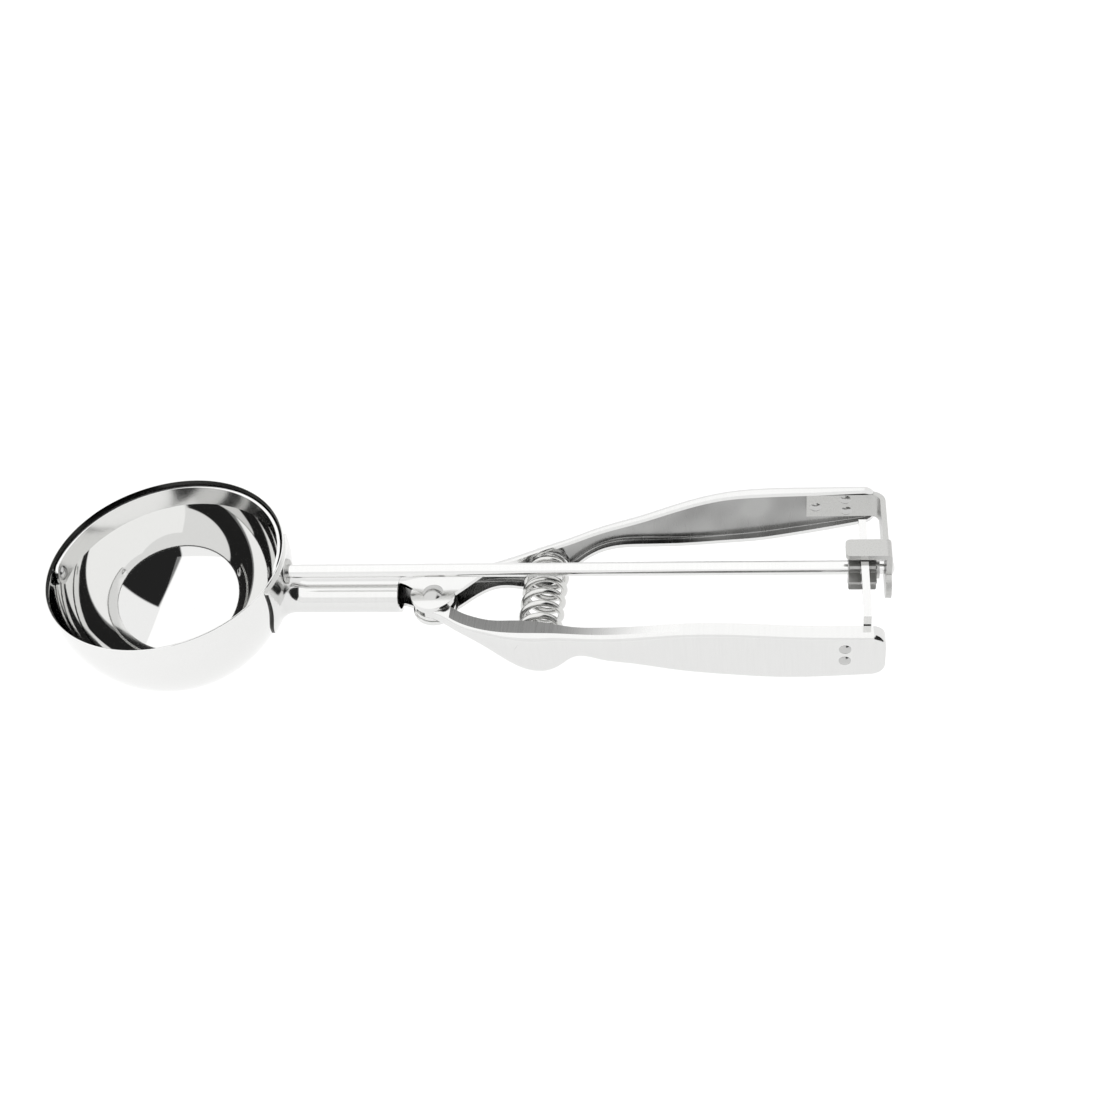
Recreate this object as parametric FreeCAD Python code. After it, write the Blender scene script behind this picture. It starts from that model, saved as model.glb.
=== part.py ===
import FreeCAD, Part
import math
import os
from FreeCAD import Vector

# Lever ice cream scoop. Lengths are in millimetres.
# X runs from the bowl to the end of the handles, +Y is the side of the fixed handle,
# +Z leaves the mouth of the bowl. The shapes are worked out about the spindle axis (z = 0 there)
# and are lowered by the height of the lip when they are written, so the origin is the centre of the mouth.

# Bowl
BOWL_RADIUS = 35.0
BOWL_WALL = 0.9
LIP_HEIGHT = 4.8
RIM_ROUNDING = 0.2

# Spindle and its bearings
ROD_DIAMETER = 3.9
RUNNING_CLEARANCE = 0.05
FACE_CLEARANCE = 0.1
LOOSE_CLEARANCE = 0.3
SEAT_GAP = 0.03
BUSH_WALL = 0.55
BUSH_FLANGE = 0.6
BUSH_FLANGE_RIM = 1.1
JOURNAL_DIAMETER = 2.8
HEAD_OVERHANG = 0.75
HEAD_HEIGHT = 0.9

# Scraper
SCRAPER_THICKNESS = 0.8
SCRAPER_WIDTH = 6.8
SCRAPER_STEM_DIAMETER = 3.0
TIP_RIVET_DIAMETER = 2.6
TIP_HEAD_DIAMETER = 4.6

# Neck
SHEET = 1.2
NECK_DIAMETER = 10.2
NECK_WALL = 1.0
NECK_DROP = 10.0
NECK_LENGTH = 32.9
SADDLE_HALF_WIDTH = 12.0
SADDLE_TOP = 3.4
SADDLE_DEPTH = 24.0
SADDLE_THICKNESS = 0.8
FLARE_RADIUS = 5.0
SEAM_WIDTH = 0.4
SEAM_DEPTH = 0.3
SEAM_ANGLE = 30.0

# Hinge
HINGE_REACH = 43.5
HINGE_OFFSET = -3.4
HINGE_PIN_DIAMETER = 4.0
HINGE_HEAD_DIAMETER = 6.0
HINGE_HEAD_HEIGHT = 1.2
EAR_RADIUS = 6.5
EAR_SPAN = 7.0
EAR_CENTRE = -9.0
EAR_CLEARANCE = 0.15
LEVER_EAR_RADIUS = 6.1
LEVER_TRAVEL_DEG = 7.0

# Handles
HINGE_TO_PINION = 120.2
HANDLE_PAST_PINION = 5.0
END_CORNER_RADIUS = 3.5
FIXED_WEB = 29.9
LEVER_WEB = -28.5
LEVER_EDGE = -24.5
GRIP_TOP_FIXED = 3.4
GRIP_TOP_LEVER = 3.2
END_SHOULDER = 1.6

# Return spring
SPRING_FROM_HINGE = 31.5
SPRING_DROP = 9.8
SPRING_WIRE = 1.9
SPRING_OUTSIDE = 12.8
SPRING_SEAT_FIXED = 10.4
SPRING_SEAT_LEVER = -21.0
SPRING_TURNS = 7
SPRING_END_TURNS = 1
SPRING_END_GAP = 0.5
PEG_HEIGHT = 2.6
PEG_CLEARANCE = 0.5

# Rack and pinion
MODULE = 1.2
PINION_TEETH = 8
PINION_LENGTH = 7.4
RACK_THICKNESS = 2.0
RACK_BACK = 1.7
RACK_TIP_Y = 10.6
RACK_TEETH_AHEAD = 2
RACK_TEETH_BEHIND = 5
FOOT_THICKNESS = 1.6
FOOT_LENGTH = 9.5
FOOT_HEIGHT = 9.5

# End bracket
BRACKET_THICKNESS = 1.5
BRACKET_PLATE_LENGTH = 18.0
BRACKET_PLATE_HEIGHT = 8.2
BRACKET_TONGUE_RADIUS = 6.2
BRACKET_TONGUE_END = -8.0
TAB_LENGTH = 12.2
TAB_WIDTH = 6.4
TAB_CENTRE = -2.2
RIVET_DIAMETER = 2.2
RIVET_HEAD_DIAMETER = 3.2
RIVET_HEAD_HEIGHT = 0.5

ROD_RADIUS = ROD_DIAMETER / 2
INNER_RADIUS = BOWL_RADIUS - BOWL_WALL
HINGE_X = BOWL_RADIUS + HINGE_REACH
PINION_X = HINGE_X + HINGE_TO_PINION
HANDLE_END_X = PINION_X + HANDLE_PAST_PINION
SPRING_X = HINGE_X + SPRING_FROM_HINGE
PITCH_RADIUS = MODULE * PINION_TEETH / 2
TOOTH_PITCH = math.pi * MODULE
EAR_TOP = EAR_CENTRE + EAR_SPAN / 2
EAR_BOTTOM = EAR_CENTRE - EAR_SPAN / 2
LEVER_EAR_TOP = EAR_TOP - SHEET - EAR_CLEARANCE
LEVER_EAR_BOTTOM = EAR_BOTTOM + SHEET + EAR_CLEARANCE
NECK_END_X = BOWL_RADIUS + NECK_LENGTH
BORE_RADIUS = ROD_RADIUS + RUNNING_CLEARANCE
BUSH_RADIUS = BORE_RADIUS + BUSH_WALL


def cylinder(radius, length, base, direction):
    return Part.makeCylinder(radius, length, Vector(*base), Vector(*direction))


def arc(first, middle, last):
    return Part.Arc(Vector(*first), Vector(*middle), Vector(*last)).toShape()


def line(first, last):
    return Part.makeLine(Vector(*first), Vector(*last))


def box(low, high):
    return Part.makeBox(high[0] - low[0], high[1] - low[1], high[2] - low[2], Vector(*low))


def turned(profile, base, direction):
    """Solid of revolution from (distance along the axis, radius) pairs, about a line along X, Y or Z."""
    start = Vector(*base)
    along = Vector(*direction)
    side = Vector(0, 0, 1) if abs(along.z) < 0.5 else Vector(1, 0, 0)
    points = [start + along * s + side * r for s, r in profile]
    face = Part.Face(Part.makePolygon(points + [points[0]]))
    return face.revolve(start, along, 360)


def domed_head(radius, height, base, direction):
    """Rivet head: the cap of a sphere on a flat circle."""
    ball = (radius * radius + height * height) / (2 * height)
    centre = Vector(*base) + Vector(*direction) * (height - ball)
    head = Part.makeSphere(ball, centre)
    return head.common(cylinder(radius, height, base, direction))


def write(name, solids):
    """Lowers the solids by the lip's height and writes them as one node."""
    shapes = [s.copy() for s in solids]
    for s in shapes:
        s.translate(Vector(0, 0, -LIP_HEIGHT))
    shape = shapes[0] if len(shapes) == 1 else Part.Compound(shapes)
    shape.exportStep("parts/" + name + ".step")


def one_solid(shape):
    """The largest solid of a result, with its same-surface faces joined."""
    clean = shape.removeSplitter()
    return max(clean.Solids, key=lambda s: s.Volume)


# Bowl: a half sphere with a short straight lip. Its rim is flat, with rounded edges.

def make_bowl():
    inner = INNER_RADIUS
    outer = BOWL_RADIUS
    rim = RIM_ROUNDING
    top = LIP_HEIGHT - rim
    diagonal = math.sqrt(0.5)
    corner = rim * (1 - diagonal)
    edges = [
        arc((0, 0, -inner), (inner * diagonal, 0, -inner * diagonal), (inner, 0, 0)),
        line((inner, 0, 0), (inner, 0, top)),
        arc((inner, 0, top), (inner + corner, 0, LIP_HEIGHT - corner), (inner + rim, 0, LIP_HEIGHT)),
        line((inner + rim, 0, LIP_HEIGHT), (outer - rim, 0, LIP_HEIGHT)),
        arc((outer - rim, 0, LIP_HEIGHT), (outer - corner, 0, LIP_HEIGHT - corner), (outer, 0, top)),
        line((outer, 0, top), (outer, 0, 0)),
        arc((outer, 0, 0), (outer * diagonal, 0, -outer * diagonal), (0, 0, -outer)),
        line((0, 0, -outer), (0, 0, -inner)),
    ]
    shell = Part.Face(Part.Wire(edges)).revolve(Vector(), Vector(0, 0, 1), 360)
    tip_hole = cylinder(TIP_RIVET_DIAMETER / 2, 4, (-BOWL_RADIUS - 2, 0, 0), (1, 0, 0))
    bush_hole = cylinder(BUSH_RADIUS, 4, (BOWL_RADIUS - 2, 0, 0), (1, 0, 0))
    return shell.cut(tip_hole).cut(bush_hole)


def bowl_outside():
    """Solid inside the bowl's outer face, for pieces that seat on it."""
    return Part.makeSphere(BOWL_RADIUS).fuse(Part.makeCylinder(BOWL_RADIUS, LIP_HEIGHT))


# Spindle bush: a flanged sleeve in the wall of the bowl, in which the rod turns.

def make_bush():
    start = INNER_RADIUS - 0.1
    flange = BOWL_RADIUS + SADDLE_THICKNESS
    end = flange + BUSH_FLANGE
    rim = BUSH_RADIUS + BUSH_FLANGE_RIM
    profile = [(start, BORE_RADIUS), (start, BUSH_RADIUS), (flange, BUSH_RADIUS), (flange, rim)]
    profile += [(end - 0.2, rim), (end, rim - 0.2), (end, BORE_RADIUS)]
    return turned(profile, (0, 0, 0), (1, 0, 0))


# Tip rivet: the scraper's far pivot, riveted through the wall opposite the neck.

SCRAPER_RADIUS = math.sqrt((INNER_RADIUS - LOOSE_CLEARANCE) ** 2 - (SCRAPER_WIDTH / 2) ** 2)


def make_tip_rivet():
    shank = TIP_RIVET_DIAMETER / 2
    head = TIP_HEAD_DIAMETER / 2
    inside = -(SCRAPER_RADIUS - SCRAPER_THICKNESS - FACE_CLEARANCE)
    pin = cylinder(shank, BOWL_RADIUS + inside + 0.5, (-BOWL_RADIUS - 0.5, 0, 0), (1, 0, 0))
    inner_head = domed_head(head * 0.9, HEAD_HEIGHT, (inside, 0, 0), (1, 0, 0))
    outer_head = domed_head(head, HEAD_HEIGHT + 0.3, (-BOWL_RADIUS + 0.3, 0, 0), (-1, 0, 0))
    outer_head = outer_head.cut(bowl_outside())
    return one_solid(pin.fuse(inner_head).fuse(outer_head))


# Scraper: a half ring of strip that follows the wall, with a round tab at each pivot.

def make_scraper():
    width = SCRAPER_WIDTH / 2
    outer = Part.makeCylinder(SCRAPER_RADIUS, SCRAPER_WIDTH, Vector(0, 0, -width))
    inner_radius = SCRAPER_RADIUS - SCRAPER_THICKNESS
    inner = Part.makeCylinder(inner_radius, SCRAPER_WIDTH, Vector(0, 0, -width))
    ring = outer.cut(inner)
    half = box((-BOWL_RADIUS, 0, -width), (BOWL_RADIUS, BOWL_RADIUS, width))
    tabs = cylinder(width, 2 * BOWL_RADIUS, (-BOWL_RADIUS, 0, 0), (1, 0, 0))
    strip = ring.common(half.fuse(tabs))
    pivot = cylinder(TIP_RIVET_DIAMETER / 2 + RUNNING_CLEARANCE, BOWL_RADIUS, (-BOWL_RADIUS, 0, 0), (1, 0, 0))
    stem = cylinder(SCRAPER_STEM_DIAMETER / 2, BOWL_RADIUS, (0, 0, 0), (1, 0, 0))
    return one_solid(strip.cut(pivot).cut(stem))


# Rod: one turned bar. Its stem carries the scraper, its journal runs in the end bracket.

BRACKET_FACE_X = PINION_X + PINION_LENGTH / 2 + 2.4


def make_rod():
    stem = SCRAPER_STEM_DIAMETER / 2
    journal = JOURNAL_DIAMETER / 2
    shoulder = SCRAPER_RADIUS
    inside = SCRAPER_RADIUS - SCRAPER_THICKNESS
    rear = BRACKET_FACE_X - FACE_CLEARANCE
    tail = BRACKET_FACE_X + BRACKET_THICKNESS + 3 * FACE_CLEARANCE
    body = cylinder(ROD_RADIUS, rear - shoulder, (shoulder, 0, 0), (1, 0, 0))
    front = cylinder(stem, shoulder - inside, (inside, 0, 0), (1, 0, 0))
    back = cylinder(journal, tail - rear, (rear, 0, 0), (1, 0, 0))
    front_head = domed_head(stem + HEAD_OVERHANG, HEAD_HEIGHT, (inside, 0, 0), (-1, 0, 0))
    back_head = domed_head(journal + HEAD_OVERHANG, HEAD_HEIGHT, (tail, 0, 0), (1, 0, 0))
    return one_solid(body.fuse([front, back, front_head, back_head]))


# Pinion: eight teeth with straight flanks and rounded room between them, pressed on the rod.

def make_pinion():
    tip = PITCH_RADIUS + MODULE
    root = PITCH_RADIUS - 1.3 * MODULE
    flank = [(root, 0.30 * TOOTH_PITCH), (PITCH_RADIUS, 0.19 * TOOTH_PITCH), (tip, 0.10 * TOOTH_PITCH)]
    points = []
    for tooth in range(PINION_TEETH):
        middle = 2 * math.pi * tooth / PINION_TEETH
        for side in (-1, 1):
            for radius, half in (flank if side < 0 else flank[::-1]):
                angle = middle + side * half / radius
                points.append(Vector(0, radius * math.sin(angle), radius * math.cos(angle)))
    face = Part.Face(Part.makePolygon(points + [points[0]]))
    gear = face.extrude(Vector(PINION_LENGTH, 0, 0))
    chamfer_end = tip + 0.4
    blank = turned(
        [(0, 0), (0, chamfer_end - 0.7), (0.6, chamfer_end), (PINION_LENGTH - 0.6, chamfer_end),
         (PINION_LENGTH, chamfer_end - 0.7), (PINION_LENGTH, 0)], (0, 0, 0), (1, 0, 0))
    gear = gear.common(blank)
    gear = gear.cut(cylinder(ROD_RADIUS, PINION_LENGTH, (0, 0, 0), (1, 0, 0)))
    gear.translate(Vector(PINION_X - PINION_LENGTH / 2, 0, 0))
    return gear


# Thrust washer between the pinion and the bracket.

def make_washer():
    start = PINION_X + PINION_LENGTH / 2 + FACE_CLEARANCE
    profile = [(start, ROD_RADIUS), (start, ROD_RADIUS + 1.1), (start + 0.8, ROD_RADIUS + 1.1), (start + 0.8, ROD_RADIUS)]
    return turned(profile, (0, 0, 0), (1, 0, 0))


# Pressed channel of a handle: a row of U sections with rounded shoulders, joined by a loft.

def channel_section(x, web, edge, top, bottom, shoulder):
    """Closed outline of the sheet at x: web and edge are y of the outer web and of the free edges."""
    side = 1 if web > edge else -1
    bend = web - side * shoulder
    inner = shoulder - SHEET
    d = math.sqrt(0.5)
    outline = [
        line((x, edge, top), (x, bend, top)),
        arc((x, bend, top), (x, bend + side * shoulder * d, top - shoulder * (1 - d)), (x, web, top - shoulder)),
        line((x, web, top - shoulder), (x, web, bottom + shoulder)),
        arc((x, web, bottom + shoulder), (x, bend + side * shoulder * d, bottom + shoulder * (1 - d)),
            (x, bend, bottom)),
        line((x, bend, bottom), (x, edge, bottom)),
        line((x, edge, bottom), (x, edge, bottom + SHEET)),
        line((x, edge, bottom + SHEET), (x, bend, bottom + SHEET)),
        arc((x, bend, bottom + SHEET), (x, bend + side * inner * d, bottom + shoulder - inner * d),
            (x, web - side * SHEET, bottom + shoulder)),
        line((x, web - side * SHEET, bottom + shoulder), (x, web - side * SHEET, top - shoulder)),
        arc((x, web - side * SHEET, top - shoulder), (x, bend + side * inner * d, top - shoulder + inner * d),
            (x, bend, top - SHEET)),
        line((x, bend, top - SHEET), (x, edge, top - SHEET)),
        line((x, edge, top - SHEET), (x, edge, top)),
    ]
    return Part.Wire(outline)


def channel(stations):
    return Part.makeLoft([channel_section(*s) for s in stations], True, False)


def grip_x(share):
    """x of a point of the grip, by its share of the way from behind the spring to the end of the handle."""
    start = SPRING_X + 10.0
    return start + share * (HANDLE_END_X - start)


POCKET_TOP = SPRING_OUTSIDE / 2 + LOOSE_CLEARANCE + SHEET - SPRING_DROP
POCKET_BOTTOM = -SPRING_OUTSIDE / 2 - LOOSE_CLEARANCE - SHEET - SPRING_DROP


def fixed_stations():
    """Sections of the fixed handle: x, web, free edge, top, bottom, shoulder radius."""
    neck = NECK_DIAMETER / 2
    under = neck - 0.2
    h = HINGE_X
    s = SPRING_X
    return [
        (NECK_END_X - 1.9, under, 0.6, under - NECK_DROP, -under - NECK_DROP, under - 0.3),
        (NECK_END_X + 0.6, under, 0.0, under - NECK_DROP, -under - NECK_DROP, under - 0.3),
        (NECK_END_X + 2.6, neck, -1.0, neck - NECK_DROP - 0.1, -neck - NECK_DROP + 0.5, neck - 0.7),
        (h - 2.5, 5.4, -4.5, EAR_TOP, EAR_BOTTOM, 2.6),
        (h + 3.5, 6.2, -5.5, EAR_TOP, EAR_BOTTOM, 2.2),
        (h + 9.5, 7.2, -0.6, EAR_TOP + 0.1, EAR_BOTTOM, 2.2),
        (h + 15.5, 8.4, 4.6, EAR_TOP + 0.9, EAR_BOTTOM - 0.5, 2.2),
        (s - 8.0, 10.4, 7.0, POCKET_TOP - 1.2, POCKET_BOTTOM + 2.4, 2.4),
        (s, 13.2, 9.8, POCKET_TOP, POCKET_BOTTOM, 2.8),
        (s + 7.0, 16.6, 13.4, POCKET_TOP - 0.3, POCKET_BOTTOM + 4.2, 2.4),
        (grip_x(0.05), 20.4, 17.2, -2.3, -10.8, 2.2),
        (grip_x(0.19), 23.9, 20.5, -1.1, -11.6, 2.2),
        (grip_x(0.33), 26.8, 23.4, 0.9, -14.2, 1.9),
        (grip_x(0.50), 29.2, 25.8, 2.9, -15.4, 1.7),
        (grip_x(0.60), FIXED_WEB - 0.15, 26.2, 3.3, -15.0, END_SHOULDER),
        (grip_x(0.68), FIXED_WEB, 26.4, GRIP_TOP_FIXED, -14.0, END_SHOULDER),
        (grip_x(0.77), FIXED_WEB, 26.6, GRIP_TOP_FIXED, -12.6, END_SHOULDER),
        (grip_x(0.86), FIXED_WEB, 26.9, GRIP_TOP_FIXED, -11.2, END_SHOULDER),
        (grip_x(0.93), FIXED_WEB, 27.2, GRIP_TOP_FIXED, -10.1, END_SHOULDER),
        (grip_x(1.0), FIXED_WEB, 27.4, GRIP_TOP_FIXED, -9.0, END_SHOULDER),
    ]


def lever_stations():
    """Sections of the lever, on the other side, with the same meaning."""
    h = HINGE_X
    s = SPRING_X
    return [
        (h - 2.0, -9.0, -3.4, LEVER_EAR_TOP, LEVER_EAR_BOTTOM, 1.7),
        (h + 1.5, -10.2, -4.6, LEVER_EAR_TOP, LEVER_EAR_BOTTOM, 1.7),
        (h + 7.0, -13.8, -8.8, LEVER_EAR_TOP, LEVER_EAR_BOTTOM, 1.7),
        (h + 12.5, -17.0, -12.0, LEVER_EAR_TOP + 0.5, LEVER_EAR_BOTTOM - 0.6, 1.9),
        (h + 18.5, -20.2, -15.0, POCKET_TOP - 2.8, POCKET_BOTTOM + 4.4, 2.2),
        (s - 8.0, -22.3, -16.4, POCKET_TOP - 1.4, POCKET_BOTTOM + 2.0, 2.6),
        (s, -24.0, -18.0, POCKET_TOP, POCKET_BOTTOM, 3.0),
        (s + 5.5, -23.6, -18.8, POCKET_TOP - 0.3, POCKET_BOTTOM + 1.8, 2.6),
        (grip_x(0.0), -23.4, -19.4, -2.6, -12.2, 2.4),
        (grip_x(0.09), -24.1, -20.1, -2.2, -12.2, 2.4),
        (grip_x(0.19), -24.9, -20.9, -1.0, -12.9, 2.4),
        (grip_x(0.33), -25.8, -21.8, 1.1, -14.0, 1.9),
        (grip_x(0.50), -27.0, -23.0, 2.8, -14.4, 1.7),
        (grip_x(0.68), -28.2, -24.2, 3.3, -14.0, END_SHOULDER),
        (grip_x(0.77), LEVER_WEB, LEVER_EDGE, 3.3, -13.5, END_SHOULDER),
        (grip_x(0.86), LEVER_WEB, LEVER_EDGE, GRIP_TOP_LEVER, -13.0, END_SHOULDER),
        (grip_x(0.93), LEVER_WEB, LEVER_EDGE, GRIP_TOP_LEVER, -12.5, END_SHOULDER),
        (grip_x(1.0), LEVER_WEB, LEVER_EDGE, GRIP_TOP_LEVER, -12.0, END_SHOULDER),
    ]


RACK_X = PINION_X + 0.3
WEB_INNER_FIXED = FIXED_WEB - SHEET - SEAT_GAP
WEB_INNER_LEVER = LEVER_WEB + SHEET + SEAT_GAP


def spring_seat(web_y, seat_y):
    """Pressed seat on a web: a flat disc for the end of the spring and a domed peg inside its turns."""
    side = 1 if seat_y > web_y else -1
    disc_radius = SPRING_OUTSIDE / 2 - LOOSE_CLEARANCE
    peg_radius = SPRING_OUTSIDE / 2 - SPRING_WIRE - PEG_CLEARANCE
    base = (SPRING_X, web_y, -SPRING_DROP)
    disc = cylinder(disc_radius, abs(seat_y - web_y), base, (0, side, 0))
    peg = domed_head(peg_radius, PEG_HEIGHT, (SPRING_X, seat_y, -SPRING_DROP), (0, side, 0))
    return disc.fuse(peg)


def ear(radius, top, thickness):
    return cylinder(radius, thickness, (HINGE_X, HINGE_OFFSET, top - thickness), (0, 0, 1))


def end_rounding(low_y, high_y, top, bottom):
    """Tool that rounds the two corners of a handle's end, seen from its side."""
    r = END_CORNER_RADIUS
    proud = 0.06
    x = HANDLE_END_X - r + proud
    pieces = []
    for z, sign in ((top + proud, -1), (bottom - proud, 1)):
        middle = z + sign * r
        over = z - sign
        block = box((x, low_y, min(middle, over)), (x + r + 1, high_y, max(middle, over)))
        core = cylinder(r, high_y - low_y, (x, low_y, middle), (0, 1, 0))
        pieces.append(block.cut(core))
    return pieces


def make_neck():
    """Rolled tube, blended into the saddle that is welded to the back of the bowl."""
    outer = NECK_DIAMETER / 2
    start = BOWL_RADIUS - 4.0
    tube = cylinder(outer, NECK_END_X - start, (start, 0, -NECK_DROP), (1, 0, 0))
    skin_radius = BOWL_RADIUS + SADDLE_THICKNESS
    skin = Part.makeSphere(skin_radius).fuse(Part.makeCylinder(skin_radius, LIP_HEIGHT))
    half = SADDLE_HALF_WIDTH
    low = SADDLE_TOP - SADDLE_DEPTH
    shield = [
        line((0, -half, SADDLE_TOP), (0, -half, low + half)),
        arc((0, -half, low + half), (0, 0, low), (0, half, low + half)),
        line((0, half, low + half), (0, half, SADDLE_TOP)),
        line((0, half, SADDLE_TOP), (0, -half, SADDLE_TOP)),
    ]
    prism = Part.Face(Part.Wire(shield)).extrude(Vector(BOWL_RADIUS * 2, 0, 0))
    body = skin.common(prism).fuse(tube).removeSplitter()
    foot = [e for e in body.Edges if is_neck_foot(e)]
    body = body.makeFillet(FLARE_RADIUS, foot).cut(bowl_outside())
    body = body.cut(cylinder(outer - NECK_WALL, NECK_LENGTH + 6, (BOWL_RADIUS - 6, 0, -NECK_DROP), (1, 0, 0)))
    flange = BUSH_RADIUS + BUSH_FLANGE_RIM + LOOSE_CLEARANCE
    body = body.cut(cylinder(flange, NECK_LENGTH, (skin_radius, 0, 0), (1, 0, 0)))
    body = body.cut(cylinder(BUSH_RADIUS, NECK_LENGTH, (BOWL_RADIUS - 3, 0, 0), (1, 0, 0)))
    half_seam = SEAM_WIDTH / 2
    seam = box((BOWL_RADIUS + 2 * FLARE_RADIUS, -half_seam, outer - SEAM_DEPTH), (NECK_END_X + 1, half_seam, outer + 1))
    seam.rotate(Vector(), Vector(1, 0, 0), SEAM_ANGLE)
    seam.translate(Vector(0, 0, -NECK_DROP))
    return body.cut(seam)


def is_neck_foot(edge):
    """True for the edges where the neck's outer face meets the saddle."""
    points = edge.discretize(9)
    on_tube = all(abs(math.hypot(p.y, p.z + NECK_DROP) - NECK_DIAMETER / 2) < 0.02 for p in points)
    return on_tube and all(p.x < BOWL_RADIUS + 2 for p in points)


def make_fixed_handle():
    shell = channel(fixed_stations())
    shell = shell.fuse([
        make_neck(),
        ear(EAR_RADIUS, EAR_TOP, SHEET),
        ear(EAR_RADIUS, EAR_BOTTOM + SHEET, SHEET),
    ])
    web_y = 13.2 - SHEET
    seat = spring_seat(web_y + 2.6, SPRING_SEAT_FIXED)
    outside = channel_cutter(fixed_stations())
    shell = shell.fuse(seat.common(outside))
    shell = shell.cut(end_rounding(20, 34, GRIP_TOP_FIXED, -9.0))
    shell = shell.cut(cylinder(HINGE_PIN_DIAMETER / 2, 40, (HINGE_X, HINGE_OFFSET, -30), (0, 0, 1)))
    spot = HINGE_HEAD_DIAMETER / 2 + LOOSE_CLEARANCE
    shell = shell.cut(cylinder(spot, 2, (HINGE_X, HINGE_OFFSET, EAR_TOP), (0, 0, 1)))
    shell = shell.cut(cylinder(spot, 2, (HINGE_X, HINGE_OFFSET, EAR_BOTTOM), (0, 0, -1)))
    relief = LEVER_EAR_RADIUS + LOOSE_CLEARANCE
    height = EAR_SPAN - 2 * SHEET
    shell = shell.cut(cylinder(relief, height, (HINGE_X, HINGE_OFFSET, EAR_BOTTOM + SHEET), (0, 0, 1)))
    for x, z in bracket_rivets_at():
        shell = shell.cut(cylinder(RIVET_DIAMETER / 2, 10, (x, WEB_INNER_FIXED - 4, z), (0, 1, 0)))
    return one_solid(shell)


def channel_cutter(stations):
    """The filled space of a channel, from its free edges to the outer web."""
    wires = []
    for x, web, edge, top, bottom, shoulder in stations:
        side = 1 if web > edge else -1
        bend = web - side * shoulder
        d = math.sqrt(0.5)
        wires.append(Part.Wire([
            line((x, edge, top), (x, bend, top)),
            arc((x, bend, top), (x, bend + side * shoulder * d, top - shoulder * (1 - d)),
                (x, web, top - shoulder)),
            line((x, web, top - shoulder), (x, web, bottom + shoulder)),
            arc((x, web, bottom + shoulder), (x, bend + side * shoulder * d, bottom + shoulder * (1 - d)),
                (x, bend, bottom)),
            line((x, bend, bottom), (x, edge, bottom)),
            line((x, edge, bottom), (x, edge, top)),
        ]))
    return Part.makeLoft(wires, True, False)


def make_lever():
    shell = channel(lever_stations())
    shell = shell.fuse([
        ear(LEVER_EAR_RADIUS, LEVER_EAR_TOP, SHEET),
        ear(LEVER_EAR_RADIUS, LEVER_EAR_BOTTOM + SHEET, SHEET),
    ])
    reach = HINGE_X + EAR_RADIUS + 1.5
    shell = shell.cut(box((HINGE_X - 10, -20, LEVER_EAR_TOP), (reach, 5, LEVER_EAR_TOP + 3)))
    shell = shell.cut(box((HINGE_X - 10, -20, LEVER_EAR_BOTTOM - 3), (reach, 5, LEVER_EAR_BOTTOM)))
    seat = spring_seat(-24.0 + SHEET / 2, SPRING_SEAT_LEVER)
    shell = shell.fuse(seat)
    shell = shell.cut(end_rounding(-33, -22, GRIP_TOP_LEVER, -12.0))
    bore = HINGE_PIN_DIAMETER / 2 + RUNNING_CLEARANCE
    shell = shell.cut(cylinder(bore, 40, (HINGE_X, HINGE_OFFSET, -30), (0, 0, 1)))
    for x, z in rack_rivets_at():
        shell = shell.cut(cylinder(RIVET_DIAMETER / 2, 10, (x, WEB_INNER_LEVER - 5, z), (0, 1, 0)))
    return one_solid(shell)


def make_hinge_rivet():
    radius = HINGE_PIN_DIAMETER / 2
    head = HINGE_HEAD_DIAMETER / 2
    pin = cylinder(radius, EAR_SPAN, (HINGE_X, HINGE_OFFSET, EAR_BOTTOM), (0, 0, 1))
    top = domed_head(head, HINGE_HEAD_HEIGHT, (HINGE_X, HINGE_OFFSET, EAR_TOP), (0, 0, 1))
    bottom = domed_head(head, HINGE_HEAD_HEIGHT, (HINGE_X, HINGE_OFFSET, EAR_BOTTOM), (0, 0, -1))
    return one_solid(pin.fuse([top, bottom]))


# Rack: a stamped plate that stands across the rod, toothed below, with a foot bent along the lever's web.

def rack_rivets_at():
    x = RACK_X - RACK_THICKNESS / 2 - FOOT_LENGTH / 2
    return [(x, -1.6), (x, -6.0)]


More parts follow.
